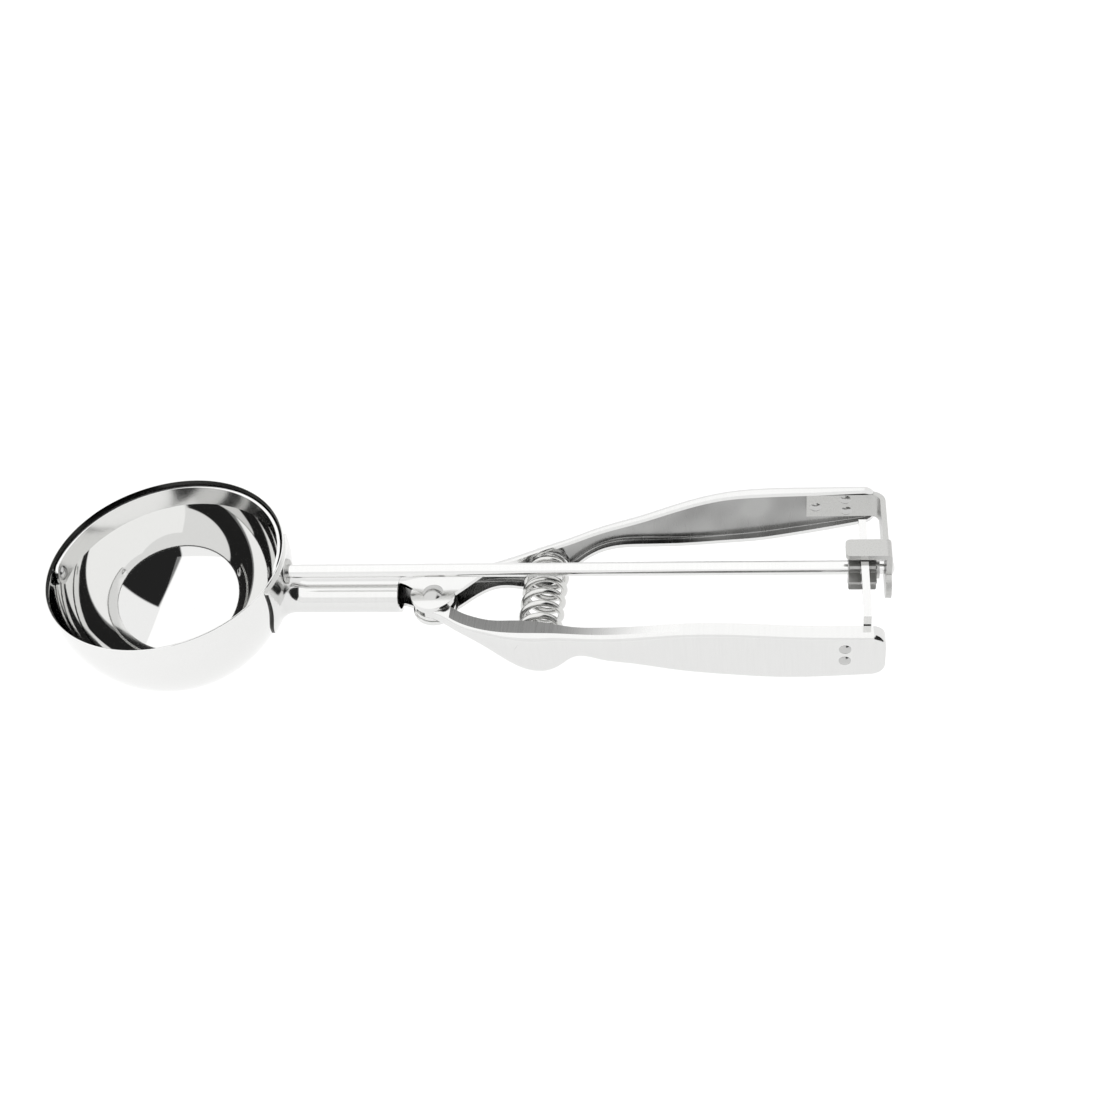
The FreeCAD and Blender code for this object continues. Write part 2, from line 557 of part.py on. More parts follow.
def make_rack():
    tip = PITCH_RADIUS - 0.95 * MODULE
    root = PITCH_RADIUS + 1.25 * MODULE
    back = root + RACK_BACK
    slope = math.tan(math.radians(20))
    half_pitch_line = 0.21 * TOOTH_PITCH
    x0 = RACK_X - RACK_THICKNESS / 2
    points = [(RACK_TIP_Y, back), (RACK_TIP_Y + 0.6, back - 0.6), (RACK_TIP_Y + 0.6, root + 0.3), (RACK_TIP_Y, root)]
    for k in range(RACK_TEETH_AHEAD - 1, -RACK_TEETH_BEHIND - 1, -1):
        middle = (k + 0.5) * TOOTH_PITCH
        at_tip = half_pitch_line - (PITCH_RADIUS - tip) * slope
        at_root = half_pitch_line + (root - PITCH_RADIUS) * slope
        points += [(middle + at_root, root), (middle + at_tip, tip), (middle - at_tip, tip), (middle - at_root, root)]
    travel = HINGE_TO_PINION * math.sin(math.radians(LEVER_TRAVEL_DEG))
    neck_y = -(PITCH_RADIUS + MODULE + 2 * LOOSE_CLEARANCE + travel)
    web = WEB_INNER_LEVER
    foot_top = GRIP_TOP_LEVER - END_SHOULDER - LOOSE_CLEARANCE
    edge = LEVER_EDGE + LOOSE_CLEARANCE
    points += [(neck_y, root), (neck_y, foot_top - FOOT_HEIGHT), (web, foot_top - FOOT_HEIGHT), (web, foot_top)]
    points += [(edge, foot_top), (edge, back - 1.5), (edge + 1.5, back)]
    vectors = [Vector(x0, y, z) for y, z in points]
    plate = Part.Face(Part.makePolygon(vectors + [vectors[0]])).extrude(Vector(RACK_THICKNESS, 0, 0))
    foot = box((x0 - FOOT_LENGTH, web, foot_top - FOOT_HEIGHT), (x0, web + FOOT_THICKNESS, foot_top))
    rack = plate.fuse(foot)
    for x, z in rack_rivets_at():
        rack = rack.cut(cylinder(RIVET_DIAMETER / 2, 10, (x, WEB_INNER_LEVER - 5, z), (0, 1, 0)))
    return one_solid(rack)


def through_rivet(x, z, low, high):
    """Rivet through the sheets between two faces of constant y, with a low domed head on each."""
    pin = cylinder(RIVET_DIAMETER / 2, high - low, (x, low, z), (0, 1, 0))
    near = domed_head(RIVET_HEAD_DIAMETER / 2, RIVET_HEAD_HEIGHT, (x, low, z), (0, -1, 0))
    far = domed_head(RIVET_HEAD_DIAMETER / 2, RIVET_HEAD_HEIGHT, (x, high, z), (0, 1, 0))
    return one_solid(pin.fuse([near, far]))


def make_rack_rivets():
    high = WEB_INNER_LEVER + FOOT_THICKNESS
    low = LEVER_WEB - SEAT_GAP
    return [through_rivet(x, z, low, high) for x, z in rack_rivets_at()]


# End bracket: a strip riveted inside the fixed handle. It turns down past the end of the handle
# to carry the end of the rod, and its top is folded over the back of the rack.

def bracket_rivets_at():
    x = HANDLE_END_X - 8.5
    return [(x - 8.3, -2.8), (x, 0.0), (x + 0.4, -4.3)]


def make_bracket():
    t = BRACKET_THICKNESS
    face = BRACKET_FACE_X
    web = WEB_INNER_FIXED
    bend = 4.0
    top = PITCH_RADIUS + 1.25 * MODULE + RACK_BACK + LOOSE_CLEARANCE
    d = math.sqrt(0.5)
    plate_end = face + t - bend
    plate_start = plate_end - BRACKET_PLATE_LENGTH
    band = [
        line((plate_start, web, 0), (plate_end, web, 0)),
        arc((plate_end, web, 0), (plate_end + bend * d, web - bend * (1 - d), 0), (face + t, web - bend, 0)),
        line((face + t, web - bend, 0), (face + t, BRACKET_TONGUE_END, 0)),
        line((face + t, BRACKET_TONGUE_END, 0), (face, BRACKET_TONGUE_END, 0)),
        line((face, BRACKET_TONGUE_END, 0), (face, web - bend, 0)),
        arc((face, web - bend, 0), (plate_end + (bend - t) * d, web - bend + (bend - t) * d, 0),
            (plate_end, web - t, 0)),
        line((plate_end, web - t, 0), (plate_start, web - t, 0)),
        line((plate_start, web - t, 0), (plate_start, web, 0)),
    ]
    strip = Part.Face(Part.Wire(band)).extrude(Vector(0, 0, 40))
    strip.translate(Vector(0, 0, -20))
    high = GRIP_TOP_FIXED - END_SHOULDER - SEAT_GAP
    low = high - BRACKET_PLATE_HEIGHT
    r = BRACKET_TONGUE_RADIUS
    centre = BRACKET_TONGUE_END + r
    tab_back = TAB_CENTRE + TAB_WIDTH / 2
    tab_front = TAB_CENTRE - TAB_WIDTH / 2
    outline = [
        line((0, web, low), (0, web, high)),
        line((0, web, high), (0, tab_back + 4, high)),
        arc((0, tab_back + 4, high), (0, tab_back + 1.2, high + 1.2), (0, tab_back, high + 4)),
        line((0, tab_back, high + 4), (0, tab_back, top + t)),
        line((0, tab_back, top + t), (0, tab_front, top + t)),
        line((0, tab_front, top + t), (0, tab_front, 2.5)),
        arc((0, tab_front, 2.5), (0, BRACKET_TONGUE_END, -0.9), (0, centre, -r)),
        line((0, centre, -r), (0, web, low)),
    ]
    side = Part.Face(Part.Wire(outline)).extrude(Vector(400, 0, 0))
    strip = strip.common(side)
    tab = box((face + t - TAB_LENGTH, tab_front, top), (face + t, tab_back, top + t))
    tab = round_upright_edges(tab, face + t - TAB_LENGTH, 1.4)
    body = one_solid(strip.fuse(tab))
    fold = [e for e in body.Edges if is_fold(e, face + t, top + t)]
    if fold:
        body = body.makeFillet(t * 0.9, fold)
    body = body.cut(cylinder(JOURNAL_DIAMETER / 2 + RUNNING_CLEARANCE, 10, (face - 3, 0, 0), (1, 0, 0)))
    for x, z in bracket_rivets_at():
        body = body.cut(cylinder(RIVET_DIAMETER / 2, 10, (x, WEB_INNER_FIXED - 4, z), (0, 1, 0)))
    return one_solid(body)


def is_fold(edge, x, z):
    """True for the outer edge of the tab's fold, which runs along Y at this x and z."""
    ends = [v.Point for v in edge.Vertexes]
    return len(ends) == 2 and all(abs(p.x - x) < 0.01 and abs(p.z - z) < 0.01 for p in ends)


def round_upright_edges(shape, x, radius):
    """Rounds the upright edges of a plate that lie at this x."""
    edges = []
    for e in shape.Edges:
        ends = [v.Point for v in e.Vertexes]
        if len(ends) == 2 and all(abs(p.x - x) < 0.01 for p in ends) and abs(ends[0].z - ends[1].z) > 0.1:
            edges.append(e)
    return shape.makeFillet(radius, edges)


def make_bracket_rivets():
    low = WEB_INNER_FIXED - BRACKET_THICKNESS
    return [through_rivet(x, z, low, FIXED_WEB + SEAT_GAP) for x, z in bracket_rivets_at()]


# Return spring: one round wire in open turns, with a closed turn at each end.

def spring_height(turn):
    """Distance of the wire's middle from the fixed end after a number of turns."""
    length = SPRING_SEAT_FIXED - SPRING_SEAT_LEVER - SPRING_WIRE - 2 * LOOSE_CLEARANCE
    closed = SPRING_WIRE + SPRING_END_GAP
    open_turns = SPRING_TURNS - 2 * SPRING_END_TURNS
    open_pitch = (length - 2 * SPRING_END_TURNS * closed) / open_turns
    low = min(turn, SPRING_END_TURNS)
    middle = min(max(turn - SPRING_END_TURNS, 0), open_turns)
    high = max(turn - SPRING_END_TURNS - open_turns, 0)
    return closed * (low + high) + open_pitch * middle


def spring_point(turn):
    radius = (SPRING_OUTSIDE - SPRING_WIRE) / 2
    angle = 2 * math.pi * turn
    y = SPRING_SEAT_FIXED - LOOSE_CLEARANCE - SPRING_WIRE / 2 - spring_height(turn)
    return Vector(SPRING_X + radius * math.cos(angle), y, -SPRING_DROP + radius * math.sin(angle))


def spring_tangent(turn):
    step = 0.001
    low = max(turn - step, 0)
    high = min(turn + step, SPRING_TURNS)
    return (spring_point(high) - spring_point(low)).normalize()


def arc_from_tangent(start, tangent, end):
    """Circular arc that leaves start along tangent and reaches end."""
    chord = end - start
    along = Vector(chord).normalize()
    across = tangent - along * tangent.dot(along)
    angle = math.acos(max(-1.0, min(1.0, tangent.dot(along))))
    across.normalize()
    middle = (start + end) * 0.5 + across * (chord.Length / 2 * math.tan(angle / 2))
    return Part.Arc(start, middle, end).toShape()


def biarc(p0, t0, p1, t1):
    """Two arcs from p0 along t0 to p1 along t1, which meet with a common tangent."""
    chord = p1 - p0
    both = t0 + t1
    bend = 2 * (1 - t0.dot(t1))
    reach = chord.dot(both)
    d = (-reach + math.sqrt(reach * reach + bend * chord.dot(chord))) / bend
    joint = (p0 + p1 + (t0 - t1) * d) * 0.5
    first = arc_from_tangent(p0, t0, joint)
    second = arc_from_tangent(p1, t1 * -1, joint)
    return [first, second]


def make_spring():
    quarters = SPRING_TURNS * 4
    edges = []
    for i in range(quarters):
        a = i / 4
        b = (i + 1) / 4
        edges += biarc(spring_point(a), spring_tangent(a), spring_point(b), spring_tangent(b))
    path = Part.Wire(Part.__sortEdges__(edges))
    ring = Part.Circle(spring_point(0), spring_tangent(0), SPRING_WIRE / 2).toShape()
    return path.makePipeShell([Part.Wire([ring])], True, False)


def spring_gap():
    """Least gap of the wire to itself, measured on points a whole turn or nearly one apart."""
    steps = 72
    points = [spring_point(i / steps) for i in range(SPRING_TURNS * steps + 1)]
    least = 1e9
    for i, p in enumerate(points):
        for q in points[i + steps // 2:]:
            least = min(least, (p - q).Length)
    return least - SPRING_WIRE


def main():
    os.makedirs("parts", exist_ok=True)
    write("bowl", [make_bowl()])
    write("spindle_bush", [make_bush()])
    write("scraper_tip_rivet", [make_tip_rivet()])
    write("fixed_handle", [make_fixed_handle()])
    write("hinge_rivet", [make_hinge_rivet()])
    write("end_bracket", [make_bracket()])
    write("bracket_rivets", make_bracket_rivets())
    write("return_spring", [make_spring()])
    write("lever_handle", [make_lever()])
    write("rack", [make_rack()])
    write("rack_rivets", make_rack_rivets())
    write("spindle_rod", [make_rod()])
    write("pinion", [make_pinion()])
    write("thrust_washer", [make_washer()])
    write("scraper", [make_scraper()])
    print("least gap of the spring to itself, mm:", round(spring_gap(), 3))


main()
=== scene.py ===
import logging
import math
from dataclasses import dataclass, field
from enum import Enum

import bmesh
import bpy
import numpy as np
from mathutils import Matrix


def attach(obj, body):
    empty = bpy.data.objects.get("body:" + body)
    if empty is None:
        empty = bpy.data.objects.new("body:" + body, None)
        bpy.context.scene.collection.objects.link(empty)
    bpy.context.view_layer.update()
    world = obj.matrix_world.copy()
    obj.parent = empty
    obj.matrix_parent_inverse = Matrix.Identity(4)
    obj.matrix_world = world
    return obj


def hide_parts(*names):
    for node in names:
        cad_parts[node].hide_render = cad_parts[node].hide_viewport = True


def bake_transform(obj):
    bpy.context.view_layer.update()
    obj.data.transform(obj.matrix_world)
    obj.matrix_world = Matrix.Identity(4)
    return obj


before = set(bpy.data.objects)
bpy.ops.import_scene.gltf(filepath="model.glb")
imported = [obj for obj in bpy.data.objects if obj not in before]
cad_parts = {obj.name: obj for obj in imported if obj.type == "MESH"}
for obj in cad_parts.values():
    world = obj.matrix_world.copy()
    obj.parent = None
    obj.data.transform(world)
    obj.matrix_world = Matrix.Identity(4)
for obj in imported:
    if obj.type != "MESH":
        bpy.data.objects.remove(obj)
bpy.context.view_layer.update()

log = logging.getLogger("scoop")

# Sizes are in millimetres about the spindle's axis, as in the part's source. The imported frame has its
# origin in the mouth of the bowl, so every mesh is lowered by the lip's height and turned to metres.
LIP_HEIGHT: float = 4.8
MM: float = 0.001

# The scraper is a ring about Z whose outer edges lie on a ball inside the bowl.
SCRAPER_BALL: float = 33.8
SCRAPER_HALF_WIDTH: float = 3.4
SCRAPER_THICKNESS: float = 0.8
SCRAPER_RADIUS: float = math.sqrt(SCRAPER_BALL ** 2 - SCRAPER_HALF_WIDTH ** 2)

# The hinge's x and y, the spring's axis (x and z) and the y of its two seats.
HINGE: tuple[float, float] = (78.5, -3.4)
SPRING_AXIS: tuple[float, float] = (110.0, -9.8)
SEAT_FIXED: float = 10.4
SEAT_LEVER: float = -21.0

# Points nearer than the first are merged, and edges shorter than the second are dissolved, in metres.
MERGE_DISTANCE: float = 2e-7
SHORTEST_EDGE: float = 1e-7

# Steps round a plate or a spring seat.
ROUND_STEPS: int = 96

# Sockets of a Mix node that is set to RGBA, whose names repeat.
MIX_FACTOR, MIX_A, MIX_B, MIX_COLOUR = 0, 6, 7, 2


class Body(Enum):
    """The three rigid bodies of the scoop."""

    FRAME = "frame"
    LEVER = "lever"
    SPINDLE = "spindle"


class Direction(Enum):
    """Which way the grain of a finish runs on its piece."""

    ACROSS_HANDLE = (1.0, 0.04, 0.04)
    EVERY_WAY = (1.0, 1.0, 1.0)


def srgb_to_linear(code: str) -> tuple[float, float, float, float]:
    """Turns a hex colour into the linear colour that a shader socket takes.

    Args:
        code: six hex digits, with or without a leading #.

    Returns:
        Red, green, blue and an alpha of 1.
    """
    digits = code.lstrip("#")
    parts = [int(digits[i:i + 2], 16) / 255 for i in (0, 2, 4)]
    linear = [c / 12.92 if c <= 0.04045 else ((c + 0.055) / 1.055) ** 2.4 for c in parts]
    return (linear[0], linear[1], linear[2], 1.0)


def add_node(tree: bpy.types.NodeTree, kind: str, settings: dict | None = None,
             links: dict | None = None) -> bpy.types.Node:
    """Adds one node with its settings and its input links.

    Args:
        tree: the node tree.
        kind: Blender's name for the node's type.
        settings: attribute or input to value; an input goes by its socket's name or number.
        links: input to the output socket that feeds it.

    Returns:
        The new node.
    """
    node = tree.nodes.new(kind)
    for key, value in (settings or {}).items():
        if isinstance(key, str) and hasattr(node, key):
            setattr(node, key, value)
        else:
            node.inputs[key].default_value = value
    for key, socket in (links or {}).items():
        tree.links.new(socket, node.inputs[key])
    return node


@dataclass(frozen=True)
class StainlessFinish:
    """A stainless steel surface: its colour, how sharp it mirrors, and the marks its polishing left.

    Lengths are in millimetres. grain is the spacing of the polishing lines, wave is the size of the
    slow unevenness that pressed sheet keeps under its polish. grain_tone is how much darker the lines
    are and patches how much darker the slow patches. fade gives the x between which the colour passes
    to fade_to.
    """

    name: str
    colour: str
    roughness: float
    roughness_spread: float = 0.04
    grain: float = 0.5
    grain_height: float = 0.0006
    grain_way: Direction = Direction.EVERY_WAY
    wave: float = 16.0
    wave_height: float = 0.010
    grain_tone: float = 0.07
    patches: float = 0.0
    fade: tuple[float, float] | None = None
    fade_to: str = "#E3E3E2"

    def build(self) -> bpy.types.Material:
        """Makes the node material.

        Returns:
            The material, which reads Object coordinates in metres.
        """
        material = bpy.data.materials.new(self.name)
        material.use_nodes = True
        tree = material.node_tree
        tree.nodes.clear()
        place = add_node(tree, "ShaderNodeTexCoord")
        stretched = add_node(tree, "ShaderNodeMapping", {"Scale": self.grain_way.value},
                             {"Vector": place.outputs["Object"]})
        grain = add_node(tree, "ShaderNodeTexNoise",
                         {"Scale": 1 / (self.grain * MM), "Detail": 3.0, "Roughness": 0.6},
                         {"Vector": stretched.outputs["Vector"]})
        wave = add_node(tree, "ShaderNodeTexNoise", {"Scale": 1 / (self.wave * MM), "Detail": 1.0},
                        {"Vector": place.outputs["Object"]})
        rough = add_node(tree, "ShaderNodeMapRange",
                         {"From Min": 0.3, "From Max": 0.7,
                          "To Min": max(self.roughness - self.roughness_spread, 0.02),
                          "To Max": self.roughness + self.roughness_spread},
                         {"Value": grain.outputs["Fac"]})
        dark = tuple((1 - self.grain_tone) * c for c in srgb_to_linear(self.colour)[:3]) + (1.0,)
        tone = add_node(tree, "ShaderNodeMix",
                        {"data_type": "RGBA", MIX_A: dark, MIX_B: srgb_to_linear(self.colour)},
                        {MIX_FACTOR: grain.outputs["Fac"]})
        colour = tone.outputs[MIX_COLOUR]
        if self.patches:
            slow = add_node(tree, "ShaderNodeMapRange",
                            {"From Min": 0.35, "From Max": 0.65,
                             "To Min": 1 - self.patches, "To Max": 1.0},
                            {"Value": wave.outputs["Fac"]})
            patchy = add_node(tree, "ShaderNodeVectorMath", {"operation": "SCALE"},
                              {0: colour, "Scale": slow.outputs["Result"]})
            colour = patchy.outputs[0]
        if self.fade:
            where = add_node(tree, "ShaderNodeSeparateXYZ", None, {"Vector": place.outputs["Object"]})
            far = add_node(tree, "ShaderNodeMapRange",
                           {"interpolation_type": "SMOOTHSTEP", "From Min": self.fade[0] * MM,
                            "From Max": self.fade[1] * MM}, {"Value": where.outputs["X"]})
            faded = add_node(tree, "ShaderNodeMix",
                             {"data_type": "RGBA", MIX_B: srgb_to_linear(self.fade_to)},
                             {MIX_FACTOR: far.outputs["Result"], MIX_A: colour})
            colour = faded.outputs[MIX_COLOUR]
        lines = add_node(tree, "ShaderNodeBump", {"Strength": 1.0, "Distance": self.grain_height * MM},
                         {"Height": grain.outputs["Fac"]})
        swell = add_node(tree, "ShaderNodeBump", {"Strength": 1.0, "Distance": self.wave_height * MM},
                         {"Height": wave.outputs["Fac"], "Normal": lines.outputs["Normal"]})
        shader = add_node(tree, "ShaderNodeBsdfPrincipled", {"Metallic": 1.0},
                          {"Base Color": colour, "Roughness": rough.outputs["Result"],
                           "Normal": swell.outputs["Normal"]})
        add_node(tree, "ShaderNodeOutputMaterial", None, {"Surface": shader.outputs["BSDF"]})
        return material


# Deep-drawn stainless sheet, buffed to a mirror: sharp reflections with a slight swell.
MIRROR_BOWL = StainlessFinish("mirror_buffed_stainless_bowl", "#EBEBEA", 0.035, 0.010, 0.35, 0.0002,
                              Direction.EVERY_WAY, 22.0, 0.006)
# Pressed stainless sheet, polished over its bends: bright, a little softer than the bowl.
POLISHED_SHEET = StainlessFinish("polished_pressed_stainless_sheet", "#E3E3E2", 0.13, 0.03, 0.4, 0.0010,
                                 Direction.ACROSS_HANDLE, 14.0, 0.014)
# Inside of the pressings, which no wheel reaches: a satin grey with soft gradients.
SATIN_INSIDE = StainlessFinish("satin_unpolished_stainless_inside", "#ADADAC", 0.24, 0.05, 0.4, 0.0010,
                               Direction.ACROSS_HANDLE, 14.0, 0.010, patches=0.28)
# Bevel inside the lip, left by the trimming tool: its dark colour is painted shade, the dark band that the
# lip shows.
LIP_BEVEL_PAINTED_SHADE = StainlessFinish("lip_bevel_painted_shade", "#3A3A39", 0.22, 0.05, 0.3, 0.0006,
                              Direction.EVERY_WAY, 10.0, 0.004)
# Saddle's edge on the bowl: a dark seam, with the shadow of the gap there painted in as well.
SADDLE_SEAM_AND_GAP_SHADOW = StainlessFinish("saddle_seam_and_painted_gap_shadow", "#3A3A39", 0.45, 0.05, 0.3, 0.0010,
                              Direction.EVERY_WAY, 4.0, 0.004)
# Top flange near the hinge: real cross marks, under a grey that fades into the polish, which is painted
# reflection.
FLANGE_MARKS_AND_REFLECTION = StainlessFinish("flange_cross_marks_and_painted_reflection", "#8E8E8D", 0.30, 0.08, 0.55, 0.0040,
                                 Direction.ACROSS_HANDLE, 14.0, 0.010, grain_tone=0.45, fade=(112.0, 146.0))
# Polished strip, rolled thin: bright, with a faint grain.
POLISHED_STRIP = StainlessFinish("polished_rolled_stainless_strip", "#E6E6E5", 0.12, 0.03, 0.3, 0.0006,
                                 Direction.EVERY_WAY, 10.0, 0.006)
# Centreless-ground and polished bar: clean streaks of light along the rod.
GROUND_BAR = StainlessFinish("ground_polished_stainless_bar", "#E8E8E7", 0.10, 0.02, 0.3, 0.0004,
                             Direction.ACROSS_HANDLE, 30.0, 0.002)
# Cold-drawn spring wire: bright, with a fine grain.
DRAWN_WIRE = StainlessFinish("cold_drawn_stainless_spring_wire", "#D8D8D6", 0.16, 0.04, 0.25, 0.0008,
                             Direction.EVERY_WAY, 8.0, 0.002)
# Barrel-tumbled stamping: a satin grey that blurs what it reflects.
TUMBLED_STAMPING = StainlessFinish("tumbled_stamped_stainless", "#C2C2C0", 0.30, 0.06, 0.3, 0.0012,
                                   Direction.EVERY_WAY, 8.0, 0.004)
# Milled stainless steel, left as cut: mid grey and dull.
MILLED_STEEL = StainlessFinish("milled_steel_as_cut", "#B0B0AE", 0.34, 0.06, 0.25, 0.0020,
                               Direction.ACROSS_HANDLE, 6.0, 0.004)
# Cold-headed rivet, polished with the sheet: bright domes.
HEADED_RIVET = StainlessFinish("cold_headed_polished_rivet", "#C4C4C3", 0.15, 0.03, 0.25, 0.0006,
                               Direction.EVERY_WAY, 5.0, 0.002)


def loop_faces(rows: int, columns: int) -> np.ndarray:
    """Quads of a grid whose rows are closed, where point (i, j) has the number i * columns + j.

    Args:
        rows: number of rows.
        columns: number of points in a row.

    Returns:
        An array of four point numbers for each face.
    """
    ii, jj = np.meshgrid(np.arange(rows - 1), np.arange(columns), indexing="ij")
    beside = (jj + 1) % columns
    corners = [ii * columns + jj, ii * columns + beside, (ii + 1) * columns + beside, (ii + 1) * columns + jj]
    return np.stack(corners, axis=-1).reshape(-1, 4)


@dataclass
class Surface:
    """Points in millimetres about the spindle's axis, with the faces between them.

    marked has the material number of each face, or is None where all faces have the first material.
    """

    points: np.ndarray
    faces: list[np.ndarray]
    marked: np.ndarray | None = None

    @staticmethod
    def from_grid(grid: np.ndarray, caps: bool = False) -> "Surface":
        """Surface of a grid of points whose rows are closed.

        Args:
            grid: an array of rows by columns by 3.
            caps: fills the first and the last row with one face each.

        Returns:
            The surface.
        """
        rows, columns = grid.shape[:2]
        faces = list(loop_faces(rows, columns))
        if caps:
            faces.append(np.arange(columns)[::-1])
            faces.append(np.arange(columns) + (rows - 1) * columns)
        return Surface(grid.reshape(-1, 3), faces)

    def joined(self, other: "Surface") -> "Surface":
        """Both surfaces as one.

        Args:
            other: the surface that is added.

        Returns:
            The joined surface, with the marks of both.
        """
        moved = [f + len(self.points) for f in other.faces]
        marks = [np.zeros(len(part.faces), int) if part.marked is None else part.marked
                 for part in (self, other)]
        points = np.concatenate([self.points, other.points])
        return Surface(points, self.faces + moved, np.concatenate(marks))


def make_piece(name: str, surface: Surface, finish: bpy.types.Material, body: Body,
               stands_for: tuple[str, ...], sharp_degrees: float = 35.0, rides: bool = True,
               others: tuple[bpy.types.Material, ...] = ()) -> bpy.types.Object:
    """Turns a surface into a piece of the scene.

    The doubles are merged, so poles and seams are closed, and the faces are turned outwards.

    Args:
        name: the piece's name.
        surface: its points and faces.
        finish: its material.
        body: the body it rides on.
        stands_for: the nodes it replaces.
        sharp_degrees: edges that bend more than this stay sharp.
        rides: whether it rides on the body; a piece that bends between two bodies doesn't.
        others: more materials, for faces marked 1, 2 and so on.

    Returns:
        The object.
    """
    mesh = bpy.data.meshes.new(name)
    points = (surface.points - np.array([0.0, 0.0, LIP_HEIGHT])) * MM
    mesh.from_pydata(points.tolist(), [], [f.tolist() for f in surface.faces])
    if others and surface.marked is not None:
        mesh.polygons.foreach_set("material_index", surface.marked.astype(np.int32))
    shape = bmesh.new()
    shape.from_mesh(mesh)
    bmesh.ops.remove_doubles(shape, verts=shape.verts, dist=MERGE_DISTANCE)
    bmesh.ops.dissolve_degenerate(shape, edges=shape.edges, dist=SHORTEST_EDGE)
    bmesh.ops.recalc_face_normals(shape, faces=shape.faces)
    shape.to_mesh(mesh)
    shape.free()
    mesh.shade_smooth()
    mesh.set_sharp_from_angle(angle=math.radians(sharp_degrees))
    for material in (finish, *others):
        mesh.materials.append(material)
    piece = bpy.data.objects.new(name, mesh)
    bpy.context.scene.collection.objects.link(piece)
    if rides:
        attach(piece, body.value)
    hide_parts(*stands_for)
    log.info("%s: %d points, %d faces", name, len(mesh.vertices), len(mesh.polygons))
    return piece


def spun(profile: np.ndarray, segments: int) -> Surface:
    """Carries a profile round the X axis: the point (x, r) goes to (x, r sin a, r cos a).

    Args:
        profile: an array of (x, r) pairs.
        segments: steps round the axis.

    Returns:
        The surface.
    """
    angle = np.linspace(0, 2 * np.pi, segments, endpoint=False)
    x = np.repeat(profile[:, :1], segments, axis=1)
    r = profile[:, 1:2]
    grid = np.stack([x, r * np.sin(angle), r * np.cos(angle)], axis=-1)
    return Surface.from_grid(grid)


def arc_points(centre: tuple[float, float], radius: float, start: float, end: float,
               count: int) -> np.ndarray:
    """Points of a flat arc.

    Args:
        centre: its middle.
        radius: its radius.
        start: its first angle in degrees.
        end: its last angle in degrees.
        count: number of points.

    Returns:
        An array of pairs.
    """
    a = np.radians(np.linspace(start, end, count))
    return np.stack([centre[0] + radius * np.cos(a), centre[1] + radius * np.sin(a)], axis=-1)


def smooth_curve(knots: np.ndarray, values: np.ndarray, at: np.ndarray) -> np.ndarray:
    """Natural cubic spline: the smoothest curve through the values, with no bend at its two ends.

    Args:
        knots: rising positions.
        values: one row of values for each knot.
        at: where the curve is wanted.

    Returns:
        One row of values for each position in at.
    """
    n = len(knots)
    h = np.diff(knots)
    system = np.eye(n)
    right = np.zeros_like(values)
    k = np.arange(1, n - 1)
    system[k, k - 1] = h[:-1]
    system[k, k] = 2 * (h[:-1] + h[1:])
    system[k, k + 1] = h[1:]
    slope = np.diff(values, axis=0) / h[:, None]
    right[1:-1] = 6 * np.diff(slope, axis=0)
    bend = np.linalg.solve(system, right)
    i = np.clip(np.searchsorted(knots, at) - 1, 0, n - 2)
    step = h[i][:, None]
    a = (knots[i + 1] - at)[:, None] / step
    b = 1 - a
    cubic = ((a ** 3 - a) * bend[i] + (b ** 3 - b) * bend[i + 1]) * step ** 2 / 6
    return a * values[i] + b * values[i + 1] + cubic


